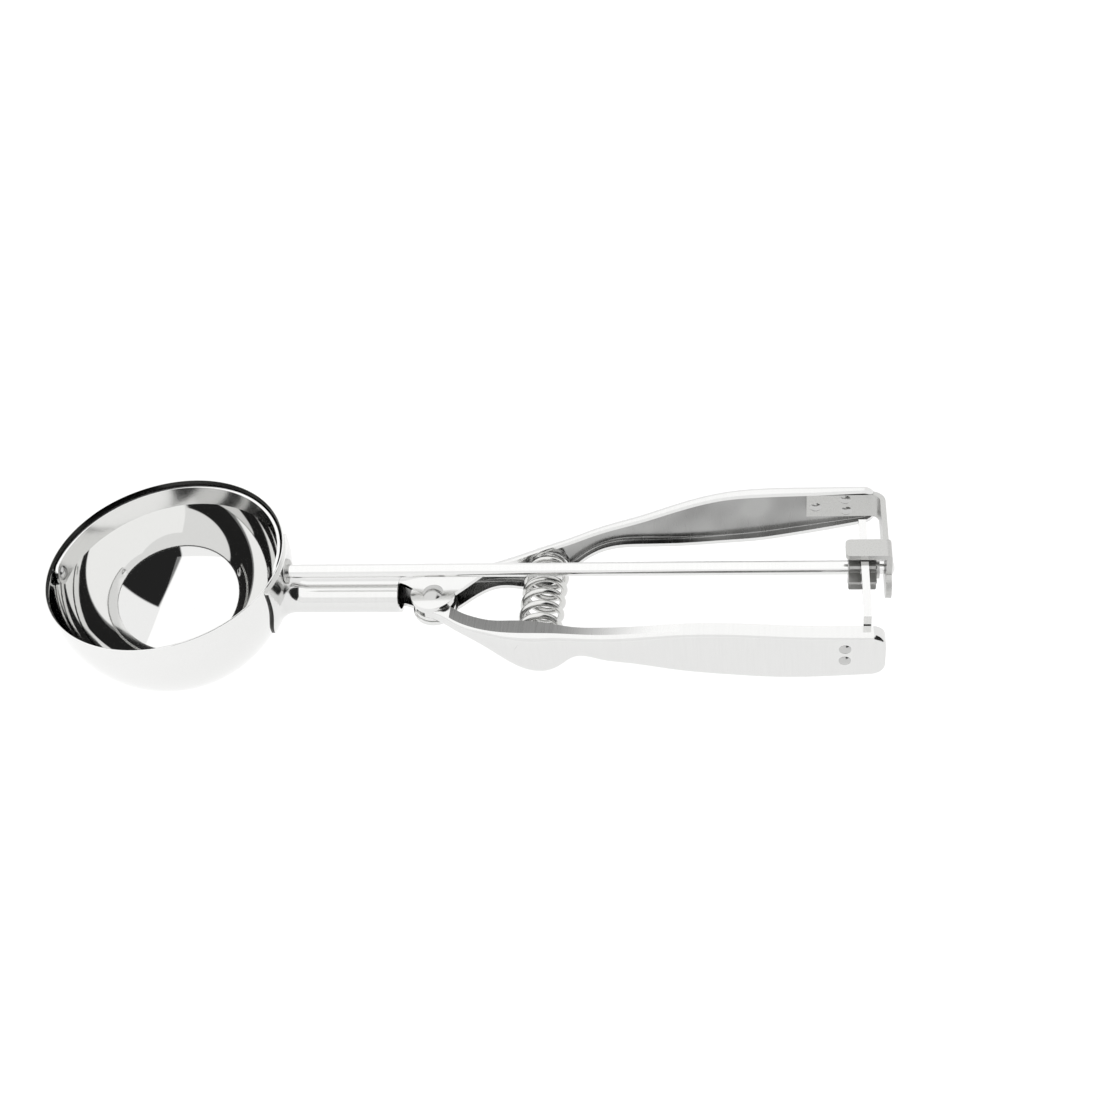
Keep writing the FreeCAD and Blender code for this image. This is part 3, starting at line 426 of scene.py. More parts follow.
@dataclass
class PressedChannel:
    """A handle pressed from sheet: a web with a flange along its top and its bottom.

    Each station is (x, web, free edge, top, bottom, shoulder radius), where web and free edge are y.
    The inside is marked 1. Between the two x given for the top flange's marks, the first faces from that
    flange's free edge, as many as its column count, are marked 2: the flange and the start of its shoulder,
    with real cross marks and a painted grey reflection.
    """

    stations: list[tuple[float, float, float, float, float, float]]
    sheet: float = 1.2
    end_corner: float = 3.5
    steps: int = 420
    corner_steps: int = 24
    corner_share: float = 0.98
    flange_points: int = 5
    shoulder_points: int = 9
    web_points: int = 13
    marks_and_reflection_columns: int = 7
    flange_marks_and_reflection: tuple[float, float] = (0.0, 0.0)

    @property
    def outline_points(self) -> int:
        """Points of an outline, whose two lines have two flanges, two shoulders and a web each.

        Returns:
            Their number.
        """
        return 2 * (2 * (self.flange_points + self.shoulder_points) + self.web_points)

    def outline(self, x: np.ndarray, v: np.ndarray) -> np.ndarray:
        """Closed outlines of the sheet, one for each x.

        The outer line runs along the top flange, round the shoulder, down the web and back along the
        bottom flange; the inner line is the same one moved in by the sheet's thickness.

        Args:
            x: positions along the handle.
            v: web, free edge, top, bottom and shoulder radius at each x.

        Returns:
            Points, len(x) by points of an outline by 3.
        """
        web, edge, top, bottom, shoulder = v.T
        side = np.sign(web[len(web) // 2] - edge[len(edge) // 2])
        bend = web - side * shoulder
        quarter = np.linspace(0, np.pi / 2, self.shoulder_points)
        flat = np.linspace(0, 1, self.flange_points)
        long = np.linspace(0, 1, self.web_points)

        def line(y0: np.ndarray, z0: np.ndarray, y1: np.ndarray, z1: np.ndarray,
                 share: np.ndarray) -> tuple[np.ndarray, np.ndarray]:
            """Points that share out the way between two corners.

            Args:
                y0: y of the first corner, for each x.
                z0: z of the first corner.
                y1: y of the second corner.
                z1: z of the second corner.
                share: how far along each point lies.

            Returns:
                The y and z of the points.
            """
            return (y0[:, None] + (y1 - y0)[:, None] * share, z0[:, None] + (z1 - z0)[:, None] * share)

        def shoulder_arc(radius: np.ndarray, sign: int, centre_z: np.ndarray,
                         backwards: bool) -> tuple[np.ndarray, np.ndarray]:
            """Quarter circle from the flange to the web, or back.

            Args:
                radius: its radius, for each x.
                sign: 1 at the top flange, -1 at the bottom one.
                centre_z: height of its middle.
                backwards: runs from the web to the flange.

            Returns:
                The y and z of the points.
            """
            a = quarter[::-1] if backwards else quarter
            return (bend[:, None] + side * radius[:, None] * np.sin(a),
                    centre_z[:, None] + sign * radius[:, None] * np.cos(a))

        inner = shoulder - self.sheet
        high, low = top - shoulder, bottom + shoulder
        inner_web = web - side * self.sheet
        parts = [
            line(edge, top, bend, top, flat),
            shoulder_arc(shoulder, 1, high, False),
            line(web, high, web, low, long),
            shoulder_arc(shoulder, -1, low, True),
            line(bend, bottom, edge, bottom, flat),
            line(edge, bottom + self.sheet, bend, bottom + self.sheet, flat),
            shoulder_arc(inner, -1, low, False),
            line(inner_web, low, inner_web, high, long),
            shoulder_arc(inner, 1, high, True),
            line(bend, top - self.sheet, edge, top - self.sheet, flat),
        ]
        y = np.concatenate([p[0] for p in parts], axis=1)
        z = np.concatenate([p[1] for p in parts], axis=1)
        return np.stack([np.repeat(x[:, None], y.shape[1], axis=1), y, z], axis=-1)

    def surface(self) -> Surface:
        """Surface of the channel, whose end corners are rounded by a quarter circle seen from the side.

        Returns:
            The closed surface.
        """
        table = np.array(self.stations)
        start, end = table[0, 0], table[-1, 0]
        body = np.linspace(start, end - self.end_corner, self.steps)
        turn = np.linspace(0, self.corner_share * np.pi / 2, self.corner_steps)[1:]
        tail = end - self.end_corner + self.end_corner * np.sin(turn)
        x = np.concatenate([body, tail])
        v = smooth_curve(table[:, 0], table[:, 1:], x)
        over = np.clip(x - (end - self.end_corner), 0, None)
        drop = self.end_corner - np.sqrt(np.clip(self.end_corner ** 2 - over ** 2, 0, None))
        v[:, 2] -= drop
        v[:, 3] += drop
        surface = Surface.from_grid(self.outline(x, v), caps=True)
        column = np.arange(len(surface.faces)) % self.outline_points
        inner = (column >= self.outline_points // 2) & (column < self.outline_points - 1)
        row = np.arange(len(surface.faces)) // self.outline_points
        at = x[np.clip(row, 0, len(x) - 1)]
        # Top flange faces in this span get the third material: real cross marks with a painted grey
        # reflection.
        top = (column < self.marks_and_reflection_columns) & (at > self.flange_marks_and_reflection[0]) & (at < self.flange_marks_and_reflection[1])
        surface.marked = np.where(inner, 1, np.where(top, 2, 0))
        surface.marked[-2:] = 0
        return surface


def round_plate(centre: tuple[float, float], radius: float, top: float, thickness: float,
                edge: float = 0.15) -> Surface:
    """A round flat plate with softened edges, spun about a line along Z.

    Args:
        centre: x and y of its middle.
        radius: its radius.
        top: height of its upper face.
        thickness: its thickness.
        edge: radius of its edges.

    Returns:
        The closed surface.
    """
    profile = np.concatenate([
        [[0.0, top]],
        arc_points((radius - edge, top - edge), edge, 90, 0, 5),
        arc_points((radius - edge, top - thickness + edge), edge, 0, -90, 5),
        [[0.0, top - thickness]],
    ])
    angle = np.linspace(0, 2 * np.pi, ROUND_STEPS, endpoint=False)
    r = profile[:, :1]
    z = np.repeat(profile[:, 1:2], len(angle), axis=1)
    grid = np.stack([centre[0] + r * np.cos(angle), centre[1] + r * np.sin(angle), z], axis=-1)
    return Surface.from_grid(grid)


@dataclass
class ScoopBowl:
    """Drawn hemisphere with a short straight lip, bevelled inside, and a rim with a rounded outer edge."""

    radius: float = 35.0
    wall: float = 0.9
    rounding: float = 0.2
    bevel_start: float = 3.5
    segments: int = 288
    arc_steps: int = 72
    lip_steps: int = 6
    bevel_steps: int = 4

    def build(self, finish: bpy.types.Material, lip: bpy.types.Material) -> None:
        """Spins the bowl's section about Z: inside, lip, bevel, rim, lip and outside.

        Args:
            finish: the bowl's material.
            lip: the bevel's material, dark as painted shade.
        """
        inner = self.radius - self.wall
        rim = self.rounding
        top = LIP_HEIGHT - rim
        lip_up = np.linspace(0, self.bevel_start, self.lip_steps + 1)[1:]
        bevel_foot, bevel_head = [inner, self.bevel_start], [self.radius - 2 * rim, top + 0.5 * rim]
        lip_down = np.linspace(top, 0, self.lip_steps + 1)[1:]
        profile = np.concatenate([
            arc_points((0, 0), inner, -90, 0, self.arc_steps),
            np.stack([np.full(self.lip_steps, inner), lip_up], axis=-1),
            np.linspace(bevel_foot, bevel_head, self.bevel_steps + 1)[1:],
            arc_points((self.radius - rim, top), rim, 90, 0, self.lip_steps),
            np.stack([np.full(self.lip_steps, self.radius), lip_down], axis=-1),
            arc_points((0, 0), self.radius, 0, -90, self.arc_steps)[1:],
        ])
        angle = np.linspace(0, 2 * np.pi, self.segments, endpoint=False)
        r = np.clip(profile[:, :1], 0, None)
        z = np.repeat(profile[:, 1:2], len(angle), axis=1)
        grid = np.stack([r * np.cos(angle), r * np.sin(angle), z], axis=-1)
        surface = Surface.from_grid(grid)
        row = np.arange(len(surface.faces)) // self.segments
        first = self.arc_steps + self.lip_steps - 1
        # The bevel's rows get the second material, whose dark colour is painted shade.
        surface.marked = ((row >= first) & (row < first + self.bevel_steps)).astype(int)
        make_piece("drawn_bowl", surface, finish, Body.FRAME, ("bowl",),
                   sharp_degrees=60, others=(lip,))


@dataclass
class ScraperBlade:
    """Half ring of strip inside the bowl, with a round tab at each pivot."""

    radius: float = SCRAPER_RADIUS
    thickness: float = SCRAPER_THICKNESS
    half_width: float = SCRAPER_HALF_WIDTH
    end_steps: int = 24
    arc_steps: int = 240
    across_points: int = 9

    def build(self, finish: bpy.types.Material) -> None:
        """Carries the strip's section round the wall; past the pivots its half width falls off as a circle.

        Args:
            finish: the strip's material.
        """
        beyond = math.asin(self.half_width / self.radius)
        ends = beyond * np.sin(np.linspace(0, np.pi / 2, self.end_steps))
        angle = np.concatenate([-ends[::-1], np.linspace(0, np.pi, self.arc_steps)[1:-1], np.pi + ends])
        y = self.radius * np.sin(angle)
        round_half = np.sqrt(np.clip(self.half_width ** 2 - y ** 2, 0, None))
        half = np.where(y >= 0, self.half_width, round_half)
        across = np.linspace(-1, 1, self.across_points)
        radius = np.repeat([self.radius, self.radius - self.thickness], self.across_points)
        share = np.concatenate([across, across[::-1]])
        grid = np.stack([
            np.cos(angle)[:, None] * radius,
            np.sin(angle)[:, None] * radius,
            half[:, None] * share,
        ], axis=-1)
        make_piece("scraper_blade", Surface.from_grid(grid, caps=True), finish,
                   Body.SPINDLE, ("scraper",))


@dataclass
class SpindleRod:
    """Turned rod from the scraper to the bracket, with a domed head at each end.

    rear is the x of the journal's shoulder, tail that of the rear head's flat side.
    """

    radius: float = 1.95
    stem: float = 1.5
    journal: float = 1.4
    overhang: float = 0.75
    head: float = 0.9
    chamfer: float = 0.1
    rear: float = 204.7
    tail: float = 206.6
    steps: int = 40
    segments: int = 64

    def dome(self, x: float, radius: float, way: int) -> np.ndarray:
        """Profile of a spherical cap from its pole to its rim.

        Args:
            x: where its flat side lies.
            radius: radius of its rim.
            way: 1 or -1, the side of x on which it stands out.

        Returns:
            An array of (x, r) pairs.
        """
        ball = (radius ** 2 + self.head ** 2) / (2 * self.head)
        r = radius * np.sin(np.linspace(0, np.pi / 2, 12))
        rise = np.sqrt(np.clip(ball ** 2 - r ** 2, 0, None)) - (ball - self.head)
        return np.stack([x + way * rise, r], axis=-1)

    def build(self, finish: bpy.types.Material) -> None:
        """Spins the rod's profile about the spindle's axis.

        Args:
            finish: the bar's material.
        """
        shoulder = SCRAPER_RADIUS
        inside = shoulder - SCRAPER_THICKNESS
        cut = self.chamfer
        bar = np.linspace(shoulder + cut, self.rear - cut, self.steps)[1:]
        profile = np.concatenate([
            self.dome(inside, self.stem + self.overhang, -1),
            [[inside, self.stem], [shoulder, self.stem]],
            [[shoulder, self.radius - cut], [shoulder + cut, self.radius]],
            np.stack([bar, np.full(len(bar), self.radius)], axis=-1),
            [[self.rear, self.radius - cut], [self.rear, self.journal], [self.tail, self.journal]],
            self.dome(self.tail, self.journal + self.overhang, 1)[::-1],
        ])
        profile[:, 1] = np.clip(profile[:, 1], 0, None)
        make_piece("spindle_bar", spun(profile, self.segments), finish, Body.SPINDLE,
                   ("spindle_rod",))


@dataclass
class ReturnSpring:
    """One wire in open turns, with a closed turn at each end."""

    centre_x: float = SPRING_AXIS[0]
    centre_z: float = SPRING_AXIS[1]
    wire: float = 1.9
    outside: float = 12.8
    seat_fixed: float = SEAT_FIXED
    seat_lever: float = SEAT_LEVER
    turns: int = 7
    end_gap: float = 0.5
    clearance: float = 0.3
    turn_steps: int = 64
    ring_points: int = 20
    smoothing: int = 8

    def build(self, finish: bpy.types.Material) -> None:
        """Carries a circle along the helix: it climbs slowly in the end turns and evenly in the open ones.

        Args:
            finish: the wire's material.
        """
        length = self.seat_fixed - self.seat_lever - self.wire - 2 * self.clearance
        closed = self.wire + self.end_gap
        pitch = (length - 2 * closed) / (self.turns - 2)
        turn = np.linspace(0, self.turns, self.turns * self.turn_steps + 1)
        low = np.clip(turn, 0, 1)
        middle = np.clip(turn - 1, 0, self.turns - 2)
        high = np.clip(turn - self.turns + 1, 0, 1)
        height = closed * (low + high) + pitch * middle
        n = self.smoothing
        kernel = np.ones(2 * n + 1) / (2 * n + 1)
        padded = np.concatenate([height[0] - (height[n:0:-1] - height[0]), height,
                                 2 * height[-1] - height[-2:-2 - n:-1]])
        height = np.convolve(padded, kernel, mode="valid")
        radius = (self.outside - self.wire) / 2
        angle = 2 * np.pi * turn
        y = self.seat_fixed - self.clearance - self.wire / 2 - height
        line = np.stack([self.centre_x + radius * np.cos(angle), y,
                         self.centre_z + radius * np.sin(angle)], axis=-1)
        along = np.gradient(line, axis=0)
        along /= np.linalg.norm(along, axis=1, keepdims=True)
        out = np.stack([np.cos(angle), np.zeros_like(angle), np.sin(angle)], axis=-1)
        up = np.cross(along, out)
        ring = np.linspace(0, 2 * np.pi, self.ring_points, endpoint=False)[:, None]
        grid = line[:, None] + self.wire / 2 * (out[:, None] * np.cos(ring) + up[:, None] * np.sin(ring))
        piece = make_piece("return_coil", Surface.from_grid(grid, caps=True), finish,
                           Body.FRAME, ("return_spring",), rides=False)
        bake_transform(piece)


def spring_seat(web: float, seat: float, disc: float = 6.1, peg: float = 4.0, peg_height: float = 2.6,
                edge: float = 0.4) -> Surface:
    """Pressed seat of the spring, spun about the spring's axis: a flat disc and a domed peg in its middle.

    Args:
        web: y of the web it is pressed from.
        seat: y of the disc's face.
        disc: radius of the disc.
        peg: radius of the peg.
        peg_height: height of the peg's dome.
        edge: radius of the disc's edge.

    Returns:
        The surface.
    """
    way = 1 if seat > web else -1
    ball = (peg ** 2 + peg_height ** 2) / (2 * peg_height)
    r = peg * np.sin(np.linspace(0, np.pi / 2, 14))
    rise = np.sqrt(ball ** 2 - r ** 2) - (ball - peg_height)
    dome = np.stack([r, seat + way * rise], axis=-1)
    soft = arc_points((disc - edge, 0.0), edge, 90, 0, 6)
    rim = np.stack([soft[:, 0], seat + way * (soft[:, 1] - edge)], axis=-1)
    profile = np.concatenate([dome, rim, [[disc, web]], [[0.0, web]]])
    angle = np.linspace(0, 2 * np.pi, ROUND_STEPS, endpoint=False)
    grid = np.stack([
        SPRING_AXIS[0] + profile[:, :1] * np.cos(angle),
        np.repeat(profile[:, 1:2], len(angle), axis=1),
        SPRING_AXIS[1] + profile[:, :1] * np.sin(angle),
    ], axis=-1)
    return Surface.from_grid(grid)


@dataclass
class NeckAndSaddle:
    """Rolled tube with its seam, blended into the shield that is welded to the bowl."""

    drop: float = 10.0
    radius: float = 5.1
    wall: float = 1.0
    end: float = 67.9
    skin: float = 35.8
    bowl: float = 35.0
    blend: float = 5.0
    half_width: float = 12.0
    top: float = 3.4
    depth: float = 24.0
    seam_angle: float = -30.0
    seam_depth: float = 0.25
    seam_width: float = 0.035
    tube_start: float = 46.0
    bore_start: float = 40.0
    seam_shadow_below: float = 2.6
    segments: int = 240
    blend_steps: int = 14
    tube_steps: int = 24
    shield_steps: int = 9

    def skin_x(self, y: np.ndarray, z: np.ndarray, radius: float) -> np.ndarray:
        """x of the ball below the lip and of the cylinder beside it.

        Args:
            y: y of the points.
            z: z of the points.
            radius: radius of the ball and the cylinder.

        Returns:
            x of the points.
        """
        return np.sqrt(np.clip(radius ** 2 - y ** 2 - np.clip(z, None, 0) ** 2, 0, None))

    def surface(self) -> Surface:
        """Tube, rolling-ball blend and shield, as rows round the neck's axis.

        For each angle round the neck, a ball of the blend's radius touches the tube and the shield: its
        middle is the blend's radius away from both. The arc between the two touching points is the blend.

        Returns:
            The surface, open on the bowl and at the bore's inner end, with the low part of its edge on the
            bowl marked 1: a dark seam with painted gap shadow.
        """
        angle = np.linspace(0, 2 * np.pi, self.segments, endpoint=False)
        out_y, out_z = np.sin(angle), np.cos(angle)
        far = self.radius + self.blend
        cy, cz = far * out_y, far * out_z - self.drop
        cx = np.sqrt((self.skin + self.blend) ** 2 - cy ** 2 - cz ** 2)
        centre = np.stack([cx, cy, cz], axis=-1)
        on_tube = np.stack([cx, self.radius * out_y, self.radius * out_z - self.drop], axis=-1)
        on_skin = centre * (self.skin / (self.skin + self.blend))
        a, b = on_tube - centre, on_skin - centre
        between = np.arccos(np.clip((a * b).sum(1) / self.blend ** 2, -1, 1))[:, None]
        share = np.linspace(0, 1, self.blend_steps)
        blend_rows = [centre + (np.sin((1 - t) * between) * a + np.sin(t * between) * b) / np.sin(between)
                      for t in share]
        seam = np.radians(self.seam_angle)
        away = (angle - seam + np.pi) % (2 * np.pi) - np.pi
        groove = self.seam_depth * np.exp(-(away / self.seam_width) ** 2)
        x_rows = np.linspace(self.end, self.tube_start, self.tube_steps)
        tube_rows = [np.stack([np.full_like(angle, x), (self.radius - groove) * out_y,
                               (self.radius - groove) * out_z - self.drop], axis=-1) for x in x_rows]
        low_round = self.top - self.depth + self.half_width
        tiny = 1e-9
        to_side = self.half_width / np.maximum(np.abs(out_y), tiny)
        to_top = np.where(out_z > tiny, (self.top + self.drop) / np.maximum(out_z, tiny), np.inf)
        offset = -self.drop - low_round
        bq = offset * out_z
        to_round = -bq + np.sqrt(np.clip(bq ** 2 - offset ** 2 + self.half_width ** 2, 0, None))
        side_z = -self.drop + to_side * out_z
        reach = np.minimum(np.where(side_z < low_round, to_round, to_side), to_top)
        edge_y, edge_z = reach * out_y, reach * out_z - self.drop
        foot_y, foot_z = on_skin[:, 1], on_skin[:, 2]
        shield_rows = []
        for t in np.linspace(0, 1, self.shield_steps)[1:]:
            y = foot_y + t * (edge_y - foot_y)
            z = foot_z + t * (edge_z - foot_z)
            shield_rows.append(np.stack([self.skin_x(y, z, self.skin), y, z], axis=-1))
        edge = np.stack([self.skin_x(edge_y, edge_z, self.bowl), edge_y, edge_z], axis=-1)
        bore = self.radius - self.wall
        inner_rows = [np.stack([np.full_like(angle, x), bore * out_y, bore * out_z - self.drop], axis=-1)
                      for x in (self.bore_start, self.end)]
        grid = np.stack(inner_rows + tube_rows + blend_rows + shield_rows + [edge], axis=0)
        surface = Surface.from_grid(grid)
        surface.marked = np.zeros(len(surface.faces), int)
        # The edge row below this height gets the dark seam material, which also paints the gap's shadow.
        surface.marked[-self.segments:] = edge[:, 2] < self.seam_shadow_below
        return surface


@dataclass
class FixedHandle:
    """The handle that carries the bowl: neck, hinge ears, channel and spring seat.

    ear_proud lifts the ears clear of the channel's faces, which they would share without it.
    """

    hinge: tuple[float, float] = HINGE
    ear_proud: float = 0.01
    seat_web: float = 13.0
    ear_radius: float = 6.5
    ear_top: float = -5.5
    ear_bottom: float = -12.5
    sheet: float = 1.2
    channel: PressedChannel = field(default_factory=lambda: PressedChannel([
        (66.0, 4.9, 0.6, -5.1, -14.9, 4.6), (68.5, 4.9, 0.0, -5.1, -14.9, 4.6),
        (70.5, 5.1, -1.0, -5.0, -14.6, 4.4), (76.0, 5.4, -4.5, -5.5, -12.5, 2.6),
        (82.0, 6.2, -5.5, -5.5, -12.5, 2.2), (88.0, 7.2, -0.6, -5.4, -12.5, 2.2),
        (94.0, 8.4, 4.6, -4.6, -13.0, 2.2), (102.0, 10.4, 7.0, -3.1, -15.3, 2.4),
        (110.0, 13.2, 9.8, -1.9, -17.7, 2.8), (117.0, 16.6, 13.4, -2.2, -13.5, 2.4),
        (124.19, 20.4, 17.2, -2.3, -10.8, 2.2), (135.9, 23.9, 20.5, -1.1, -11.6, 2.2),
        (147.62, 26.8, 23.4, 0.9, -14.2, 1.9), (161.85, 29.2, 25.8, 2.9, -15.4, 1.7),
        (170.22, 29.75, 26.2, 3.3, -15.0, 1.6), (176.92, 29.9, 26.4, 3.4, -14.0, 1.6),
        (184.45, 29.9, 26.6, 3.4, -12.6, 1.6), (191.98, 29.9, 26.9, 3.4, -11.2, 1.6),
        (197.84, 29.9, 27.2, 3.4, -10.1, 1.6), (203.7, 29.9, 27.4, 3.4, -9.0, 1.6)]))
    neck: NeckAndSaddle = field(default_factory=NeckAndSaddle)

    def build(self, finish: bpy.types.Material, inside: bpy.types.Material,
              seam: bpy.types.Material) -> None:
        """Builds the pressed sheet from the bowl to the end of the handle.

        Args:
            finish: the material of the outside.
            inside: the material of the channel's inside.
            seam: the material of the saddle's edge: a dark seam with painted gap shadow.
        """
        body = self.channel.surface().joined(spring_seat(self.seat_web, SEAT_FIXED))
        for top in (self.ear_top + self.ear_proud, self.ear_bottom + self.sheet + self.ear_proud):
            plate = round_plate(self.hinge, self.ear_radius, top, self.sheet + 2 * self.ear_proud)
            body = body.joined(plate)
        make_piece("fixed_grip", body, finish, Body.FRAME, ("fixed_handle",),
                   others=(inside,))
        make_piece("neck_and_saddle", self.neck.surface(), finish, Body.FRAME,
                   ("fixed_handle",), others=(seam,))


@dataclass
class LeverHandle:
    """The squeezed handle, whose ears turn between the fixed ones."""

    hinge: tuple[float, float] = HINGE
    seat_web: float = -23.4
    ear_radius: float = 6.1
    ear_top: float = -6.85
    ear_bottom: float = -11.15
    sheet: float = 1.2
    channel: PressedChannel = field(default_factory=lambda: PressedChannel([
        (76.5, -9.0, -3.4, -6.85, -11.15, 1.7), (80.0, -10.2, -4.6, -6.85, -11.15, 1.7),
        (85.5, -13.8, -8.8, -6.85, -11.15, 1.7), (91.0, -17.0, -12.0, -6.35, -11.75, 1.9),
        (97.0, -20.2, -15.0, -4.7, -13.3, 2.2), (102.0, -22.3, -16.4, -3.3, -15.7, 2.6),
        (110.0, -24.0, -18.0, -1.9, -17.7, 3.0), (115.5, -23.6, -18.8, -2.2, -15.9, 2.6),
        (120.0, -23.4, -19.4, -2.6, -12.2, 2.4), (127.53, -24.1, -20.1, -2.2, -12.2, 2.4),
        (135.9, -24.9, -20.9, -1.0, -12.9, 2.4), (147.62, -25.8, -21.8, 1.1, -14.0, 1.9),
        (161.85, -27.0, -23.0, 2.8, -14.4, 1.7), (176.92, -28.2, -24.2, 3.3, -14.0, 1.6),
        (184.45, -28.5, -24.5, 3.3, -13.5, 1.6), (191.98, -28.5, -24.5, 3.2, -13.0, 1.6),
        (197.84, -28.5, -24.5, 3.2, -12.5, 1.6), (203.7, -28.5, -24.5, 3.2, -12.0, 1.6)],
        # x span of the top flange's cross marks and its painted grey reflection.
        flange_marks_and_reflection=(84.0, 150.0)))

    def build(self, finish: bpy.types.Material, inside: bpy.types.Material,
              flange_marks_and_reflection: bpy.types.Material) -> None:
        """Builds the lever from its ears to its end.

        Args:
            finish: the material of the outside.
            inside: the material of the channel's inside.
            flange_marks_and_reflection: the material of the top flange near the hinge, with real cross marks
                and a painted grey reflection.
        """
        body = self.channel.surface().joined(spring_seat(self.seat_web, SEAT_LEVER))
        for top in (self.ear_top, self.ear_bottom + self.sheet):
            body = body.joined(round_plate(self.hinge, self.ear_radius, top, self.sheet))
        # The third material paints a grey reflection, over real cross marks, on the top flange near the
        # hinge.
        make_piece("lever_grip", body, finish, Body.LEVER, ("lever_handle",),
                   others=(inside, flange_marks_and_reflection))


@dataclass
class StampedParts:
    """The small pieces whose solids are already right: they only get their finish."""

    finishes: dict[str, StainlessFinish] = field(default_factory=lambda: {
        "scraper_tip_rivet": HEADED_RIVET, "spindle_bush": TUMBLED_STAMPING,
        "thrust_washer": TUMBLED_STAMPING, "pinion": MILLED_STEEL, "rack": POLISHED_STRIP,
        "rack_rivets": HEADED_RIVET, "end_bracket": TUMBLED_STAMPING, "bracket_rivets": HEADED_RIVET,
        "hinge_rivet": HEADED_RIVET})

    def dress(self, shelf: "FinishShelf") -> None:
        """Gives each node its material.

        Args:
            shelf: where the materials come from.
        """
        for name, finish in self.finishes.items():
            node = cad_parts[name]
            for slot in node.material_slots:
                slot.material = shelf.get(finish)
            log.info("%s: %s", name, finish.name)


@dataclass
class FinishShelf:
    """The materials made so far, one for each finish."""

    made: dict[str, bpy.types.Material] = field(default_factory=dict)

    def get(self, finish: StainlessFinish) -> bpy.types.Material:
        """The material of a finish, made once.

        Args:
            finish: the finish that is wanted.

        Returns:
            Its material.
        """
        if finish.name not in self.made:
            self.made[finish.name] = finish.build()
        return self.made[finish.name]


@dataclass(frozen=True)
class SoftLamp:
    """A square soft lamp: where it stands and looks, in metres, its side and how bright its face is."""

    name: str
    place: tuple[float, float, float]
    size: float
    brightness: float
    aim: tuple[float, float, float]


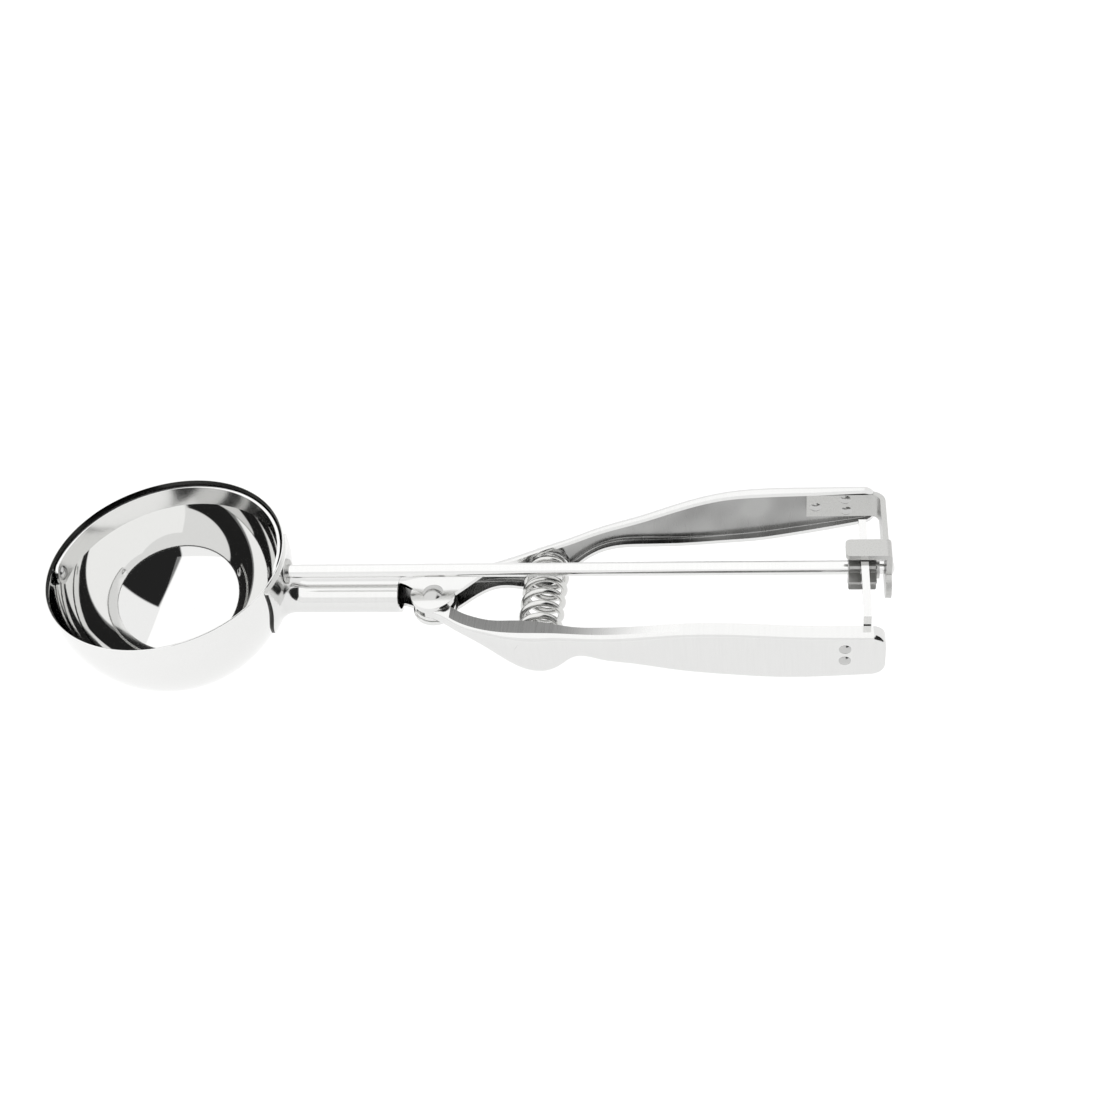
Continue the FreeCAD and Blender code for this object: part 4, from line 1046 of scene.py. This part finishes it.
@dataclass
class Studio:
    """Pale floor, white room, soft lamp and the camera of the photograph.

    The camera's place is in millimetres about the spindle's axis; the floor and the lamps are in metres.
    """

    camera_place: tuple[float, float, float] = (176.559, -298.031, 303.100)
    right: tuple[float, float, float] = (0.98885459, 0.09957176, -0.11068902)
    down: tuple[float, float, float] = (-0.00843304, -0.70480326, -0.70935269)
    forward: tuple[float, float, float] = (-0.14864548, 0.70238011, -0.69610825)
    lens: float = 50.0
    sensor_width: float = 36.0
    floor_height: float = -0.16
    floor_reach: float = 3.0
    floor_colour: str = "#E8E8E8"
    floor_lift: float = 0.26
    tent_brightness: float = 1.05
    corner_brightness: float = 0.02
    dark_edge: float = 0.02
    dark_planes: tuple[tuple[float, float, float], ...] = (
        (0.985, 0.174, 0.0), (0.880, -0.101, -0.4645), (-0.10, -0.99, 0.0))
    lamps: tuple[SoftLamp, ...] = (
        SoftLamp("lamp_above", (-1.06, -0.10, 0.90), 3.0, 0.22, (-1.06, -0.10, 0.0)),
    )

    def add_camera(self) -> None:
        """Places the camera where the photograph was taken from."""
        data = bpy.data.cameras.new("camera")
        data.lens = self.lens
        data.sensor_width = self.sensor_width
        camera = bpy.data.objects.new("camera", data)
        bpy.context.scene.collection.objects.link(camera)
        r, d, f = (np.array(v) for v in (self.right, self.down, self.forward))
        place = (np.array(self.camera_place) - np.array([0, 0, LIP_HEIGHT])) * MM
        turn = np.eye(4)
        turn[:3, 0], turn[:3, 1], turn[:3, 2], turn[:3, 3] = r, -d, -f, place
        camera.matrix_world = Matrix(turn.tolist())
        bpy.context.scene.camera = camera

    def add_lamp(self, lamp: SoftLamp) -> None:
        """Adds a square soft lamp, whose power is its brightness times pi times its area.

        Args:
            lamp: the lamp.
        """
        data = bpy.data.lights.new(lamp.name, "AREA")
        data.size = lamp.size
        data.energy = lamp.brightness * math.pi * lamp.size ** 2
        made = bpy.data.objects.new(lamp.name, data)
        bpy.context.scene.collection.objects.link(made)
        back = np.array(lamp.place) - np.array(lamp.aim)
        back = back / np.linalg.norm(back)
        side = np.cross([0.0, 1.0, 0.01], back)
        side /= np.linalg.norm(side)
        up = np.cross(back, side)
        turn = np.eye(4)
        turn[:3, 0], turn[:3, 1], turn[:3, 2], turn[:3, 3] = side, up, back, lamp.place
        made.matrix_world = Matrix(turn.tolist())

    def dark_side(self, tree: bpy.types.NodeTree) -> bpy.types.NodeSocket:
        """How far a direction lies in the dark corner of the room, where the camera stands.

        The corner is what three planes through the scoop cut out; each plane's edge is softened.

        Args:
            tree: the world's node tree.

        Returns:
            1 in the dark corner, 0 elsewhere.
        """
        place = add_node(tree, "ShaderNodeTexCoord")
        inside = None
        for plane in self.dark_planes:
            away = add_node(tree, "ShaderNodeVectorMath", {"operation": "DOT_PRODUCT", 1: plane},
                            {0: place.outputs["Generated"]})
            edge = add_node(tree, "ShaderNodeMapRange",
                            {"interpolation_type": "SMOOTHSTEP",
                             "From Min": -self.dark_edge, "From Max": self.dark_edge},
                            {"Value": away.outputs["Value"]})
            if inside is None:
                inside = edge.outputs["Result"]
                continue
            both = add_node(tree, "ShaderNodeMath", {"operation": "MULTIPLY"},
                            {0: inside, 1: edge.outputs["Result"]})
            inside = both.outputs[0]
        return inside

    def add_world(self) -> None:
        """White behind everything; as a light and in reflections a white tent with one dark corner."""
        world = bpy.data.worlds.new("studio")
        bpy.context.scene.world = world
        world.use_nodes = True
        tree = world.node_tree
        tree.nodes.clear()
        path = add_node(tree, "ShaderNodeLightPath")
        seen, tent, corner = (
            add_node(tree, "ShaderNodeBackground", {"Color": (1, 1, 1, 1), "Strength": strength})
            for strength in (1.0, self.tent_brightness, self.corner_brightness))
        room = add_node(tree, "ShaderNodeMixShader", None,
                        {"Fac": self.dark_side(tree), 1: tent.outputs[0], 2: corner.outputs[0]})
        both = add_node(tree, "ShaderNodeMixShader", None,
                        {"Fac": path.outputs["Is Camera Ray"], 1: room.outputs[0], 2: seen.outputs[0]})
        add_node(tree, "ShaderNodeOutputWorld", None, {"Surface": both.outputs[0]})

    def add_floor(self) -> None:
        """A wide pale floor with the shadow, lifted to white where the camera or a reflection sees it."""
        material = bpy.data.materials.new("pale_floor")
        material.use_nodes = True
        tree = material.node_tree
        tree.nodes.clear()
        path = add_node(tree, "ShaderNodeLightPath")
        seen = path.outputs["Is Camera Ray"]
        for ray in ("Is Glossy Ray", "Is Transmission Ray"):
            either = add_node(tree, "ShaderNodeMath", {"operation": "MAXIMUM"},
                              {0: seen, 1: path.outputs[ray]})
            seen = either.outputs[0]
        lift = add_node(tree, "ShaderNodeMath", {"operation": "MULTIPLY", 1: self.floor_lift}, {0: seen})
        matt = add_node(tree, "ShaderNodeBsdfDiffuse", {"Color": srgb_to_linear(self.floor_colour)})
        glow = add_node(tree, "ShaderNodeEmission", {"Color": (1, 1, 1, 1)}, {"Strength": lift.outputs[0]})
        both = add_node(tree, "ShaderNodeAddShader", None, {0: matt.outputs[0], 1: glow.outputs[0]})
        add_node(tree, "ShaderNodeOutputMaterial", None, {"Surface": both.outputs[0]})
        mesh = bpy.data.meshes.new("floor")
        s, z = self.floor_reach, self.floor_height
        mesh.from_pydata([(-s, -s, z), (s, -s, z), (s, s, z), (-s, s, z)], [], [(0, 1, 2, 3)])
        mesh.materials.append(material)
        floor = bpy.data.objects.new("floor", mesh)
        bpy.context.scene.collection.objects.link(floor)

    def build(self) -> None:
        """Sets up the whole studio."""
        bpy.context.scene.view_settings.view_transform = "Standard"
        self.add_camera()
        self.add_world()
        self.add_floor()
        for lamp in self.lamps:
            self.add_lamp(lamp)


def main() -> None:
    """Builds each sub-assembly in order."""
    logging.basicConfig(level=logging.INFO, format="%(name)s %(message)s")
    shelf = FinishShelf()
    ScoopBowl().build(shelf.get(MIRROR_BOWL), shelf.get(LIP_BEVEL_PAINTED_SHADE))
    ScraperBlade().build(shelf.get(POLISHED_STRIP))
    SpindleRod().build(shelf.get(GROUND_BAR))
    ReturnSpring().build(shelf.get(DRAWN_WIRE))
    FixedHandle().build(shelf.get(POLISHED_SHEET), shelf.get(SATIN_INSIDE), shelf.get(SADDLE_SEAM_AND_GAP_SHADOW))
    LeverHandle().build(shelf.get(POLISHED_SHEET), shelf.get(SATIN_INSIDE), shelf.get(FLANGE_MARKS_AND_REFLECTION))
    StampedParts().dress(shelf)
    Studio().build()


if __name__ == "__main__":
    main()
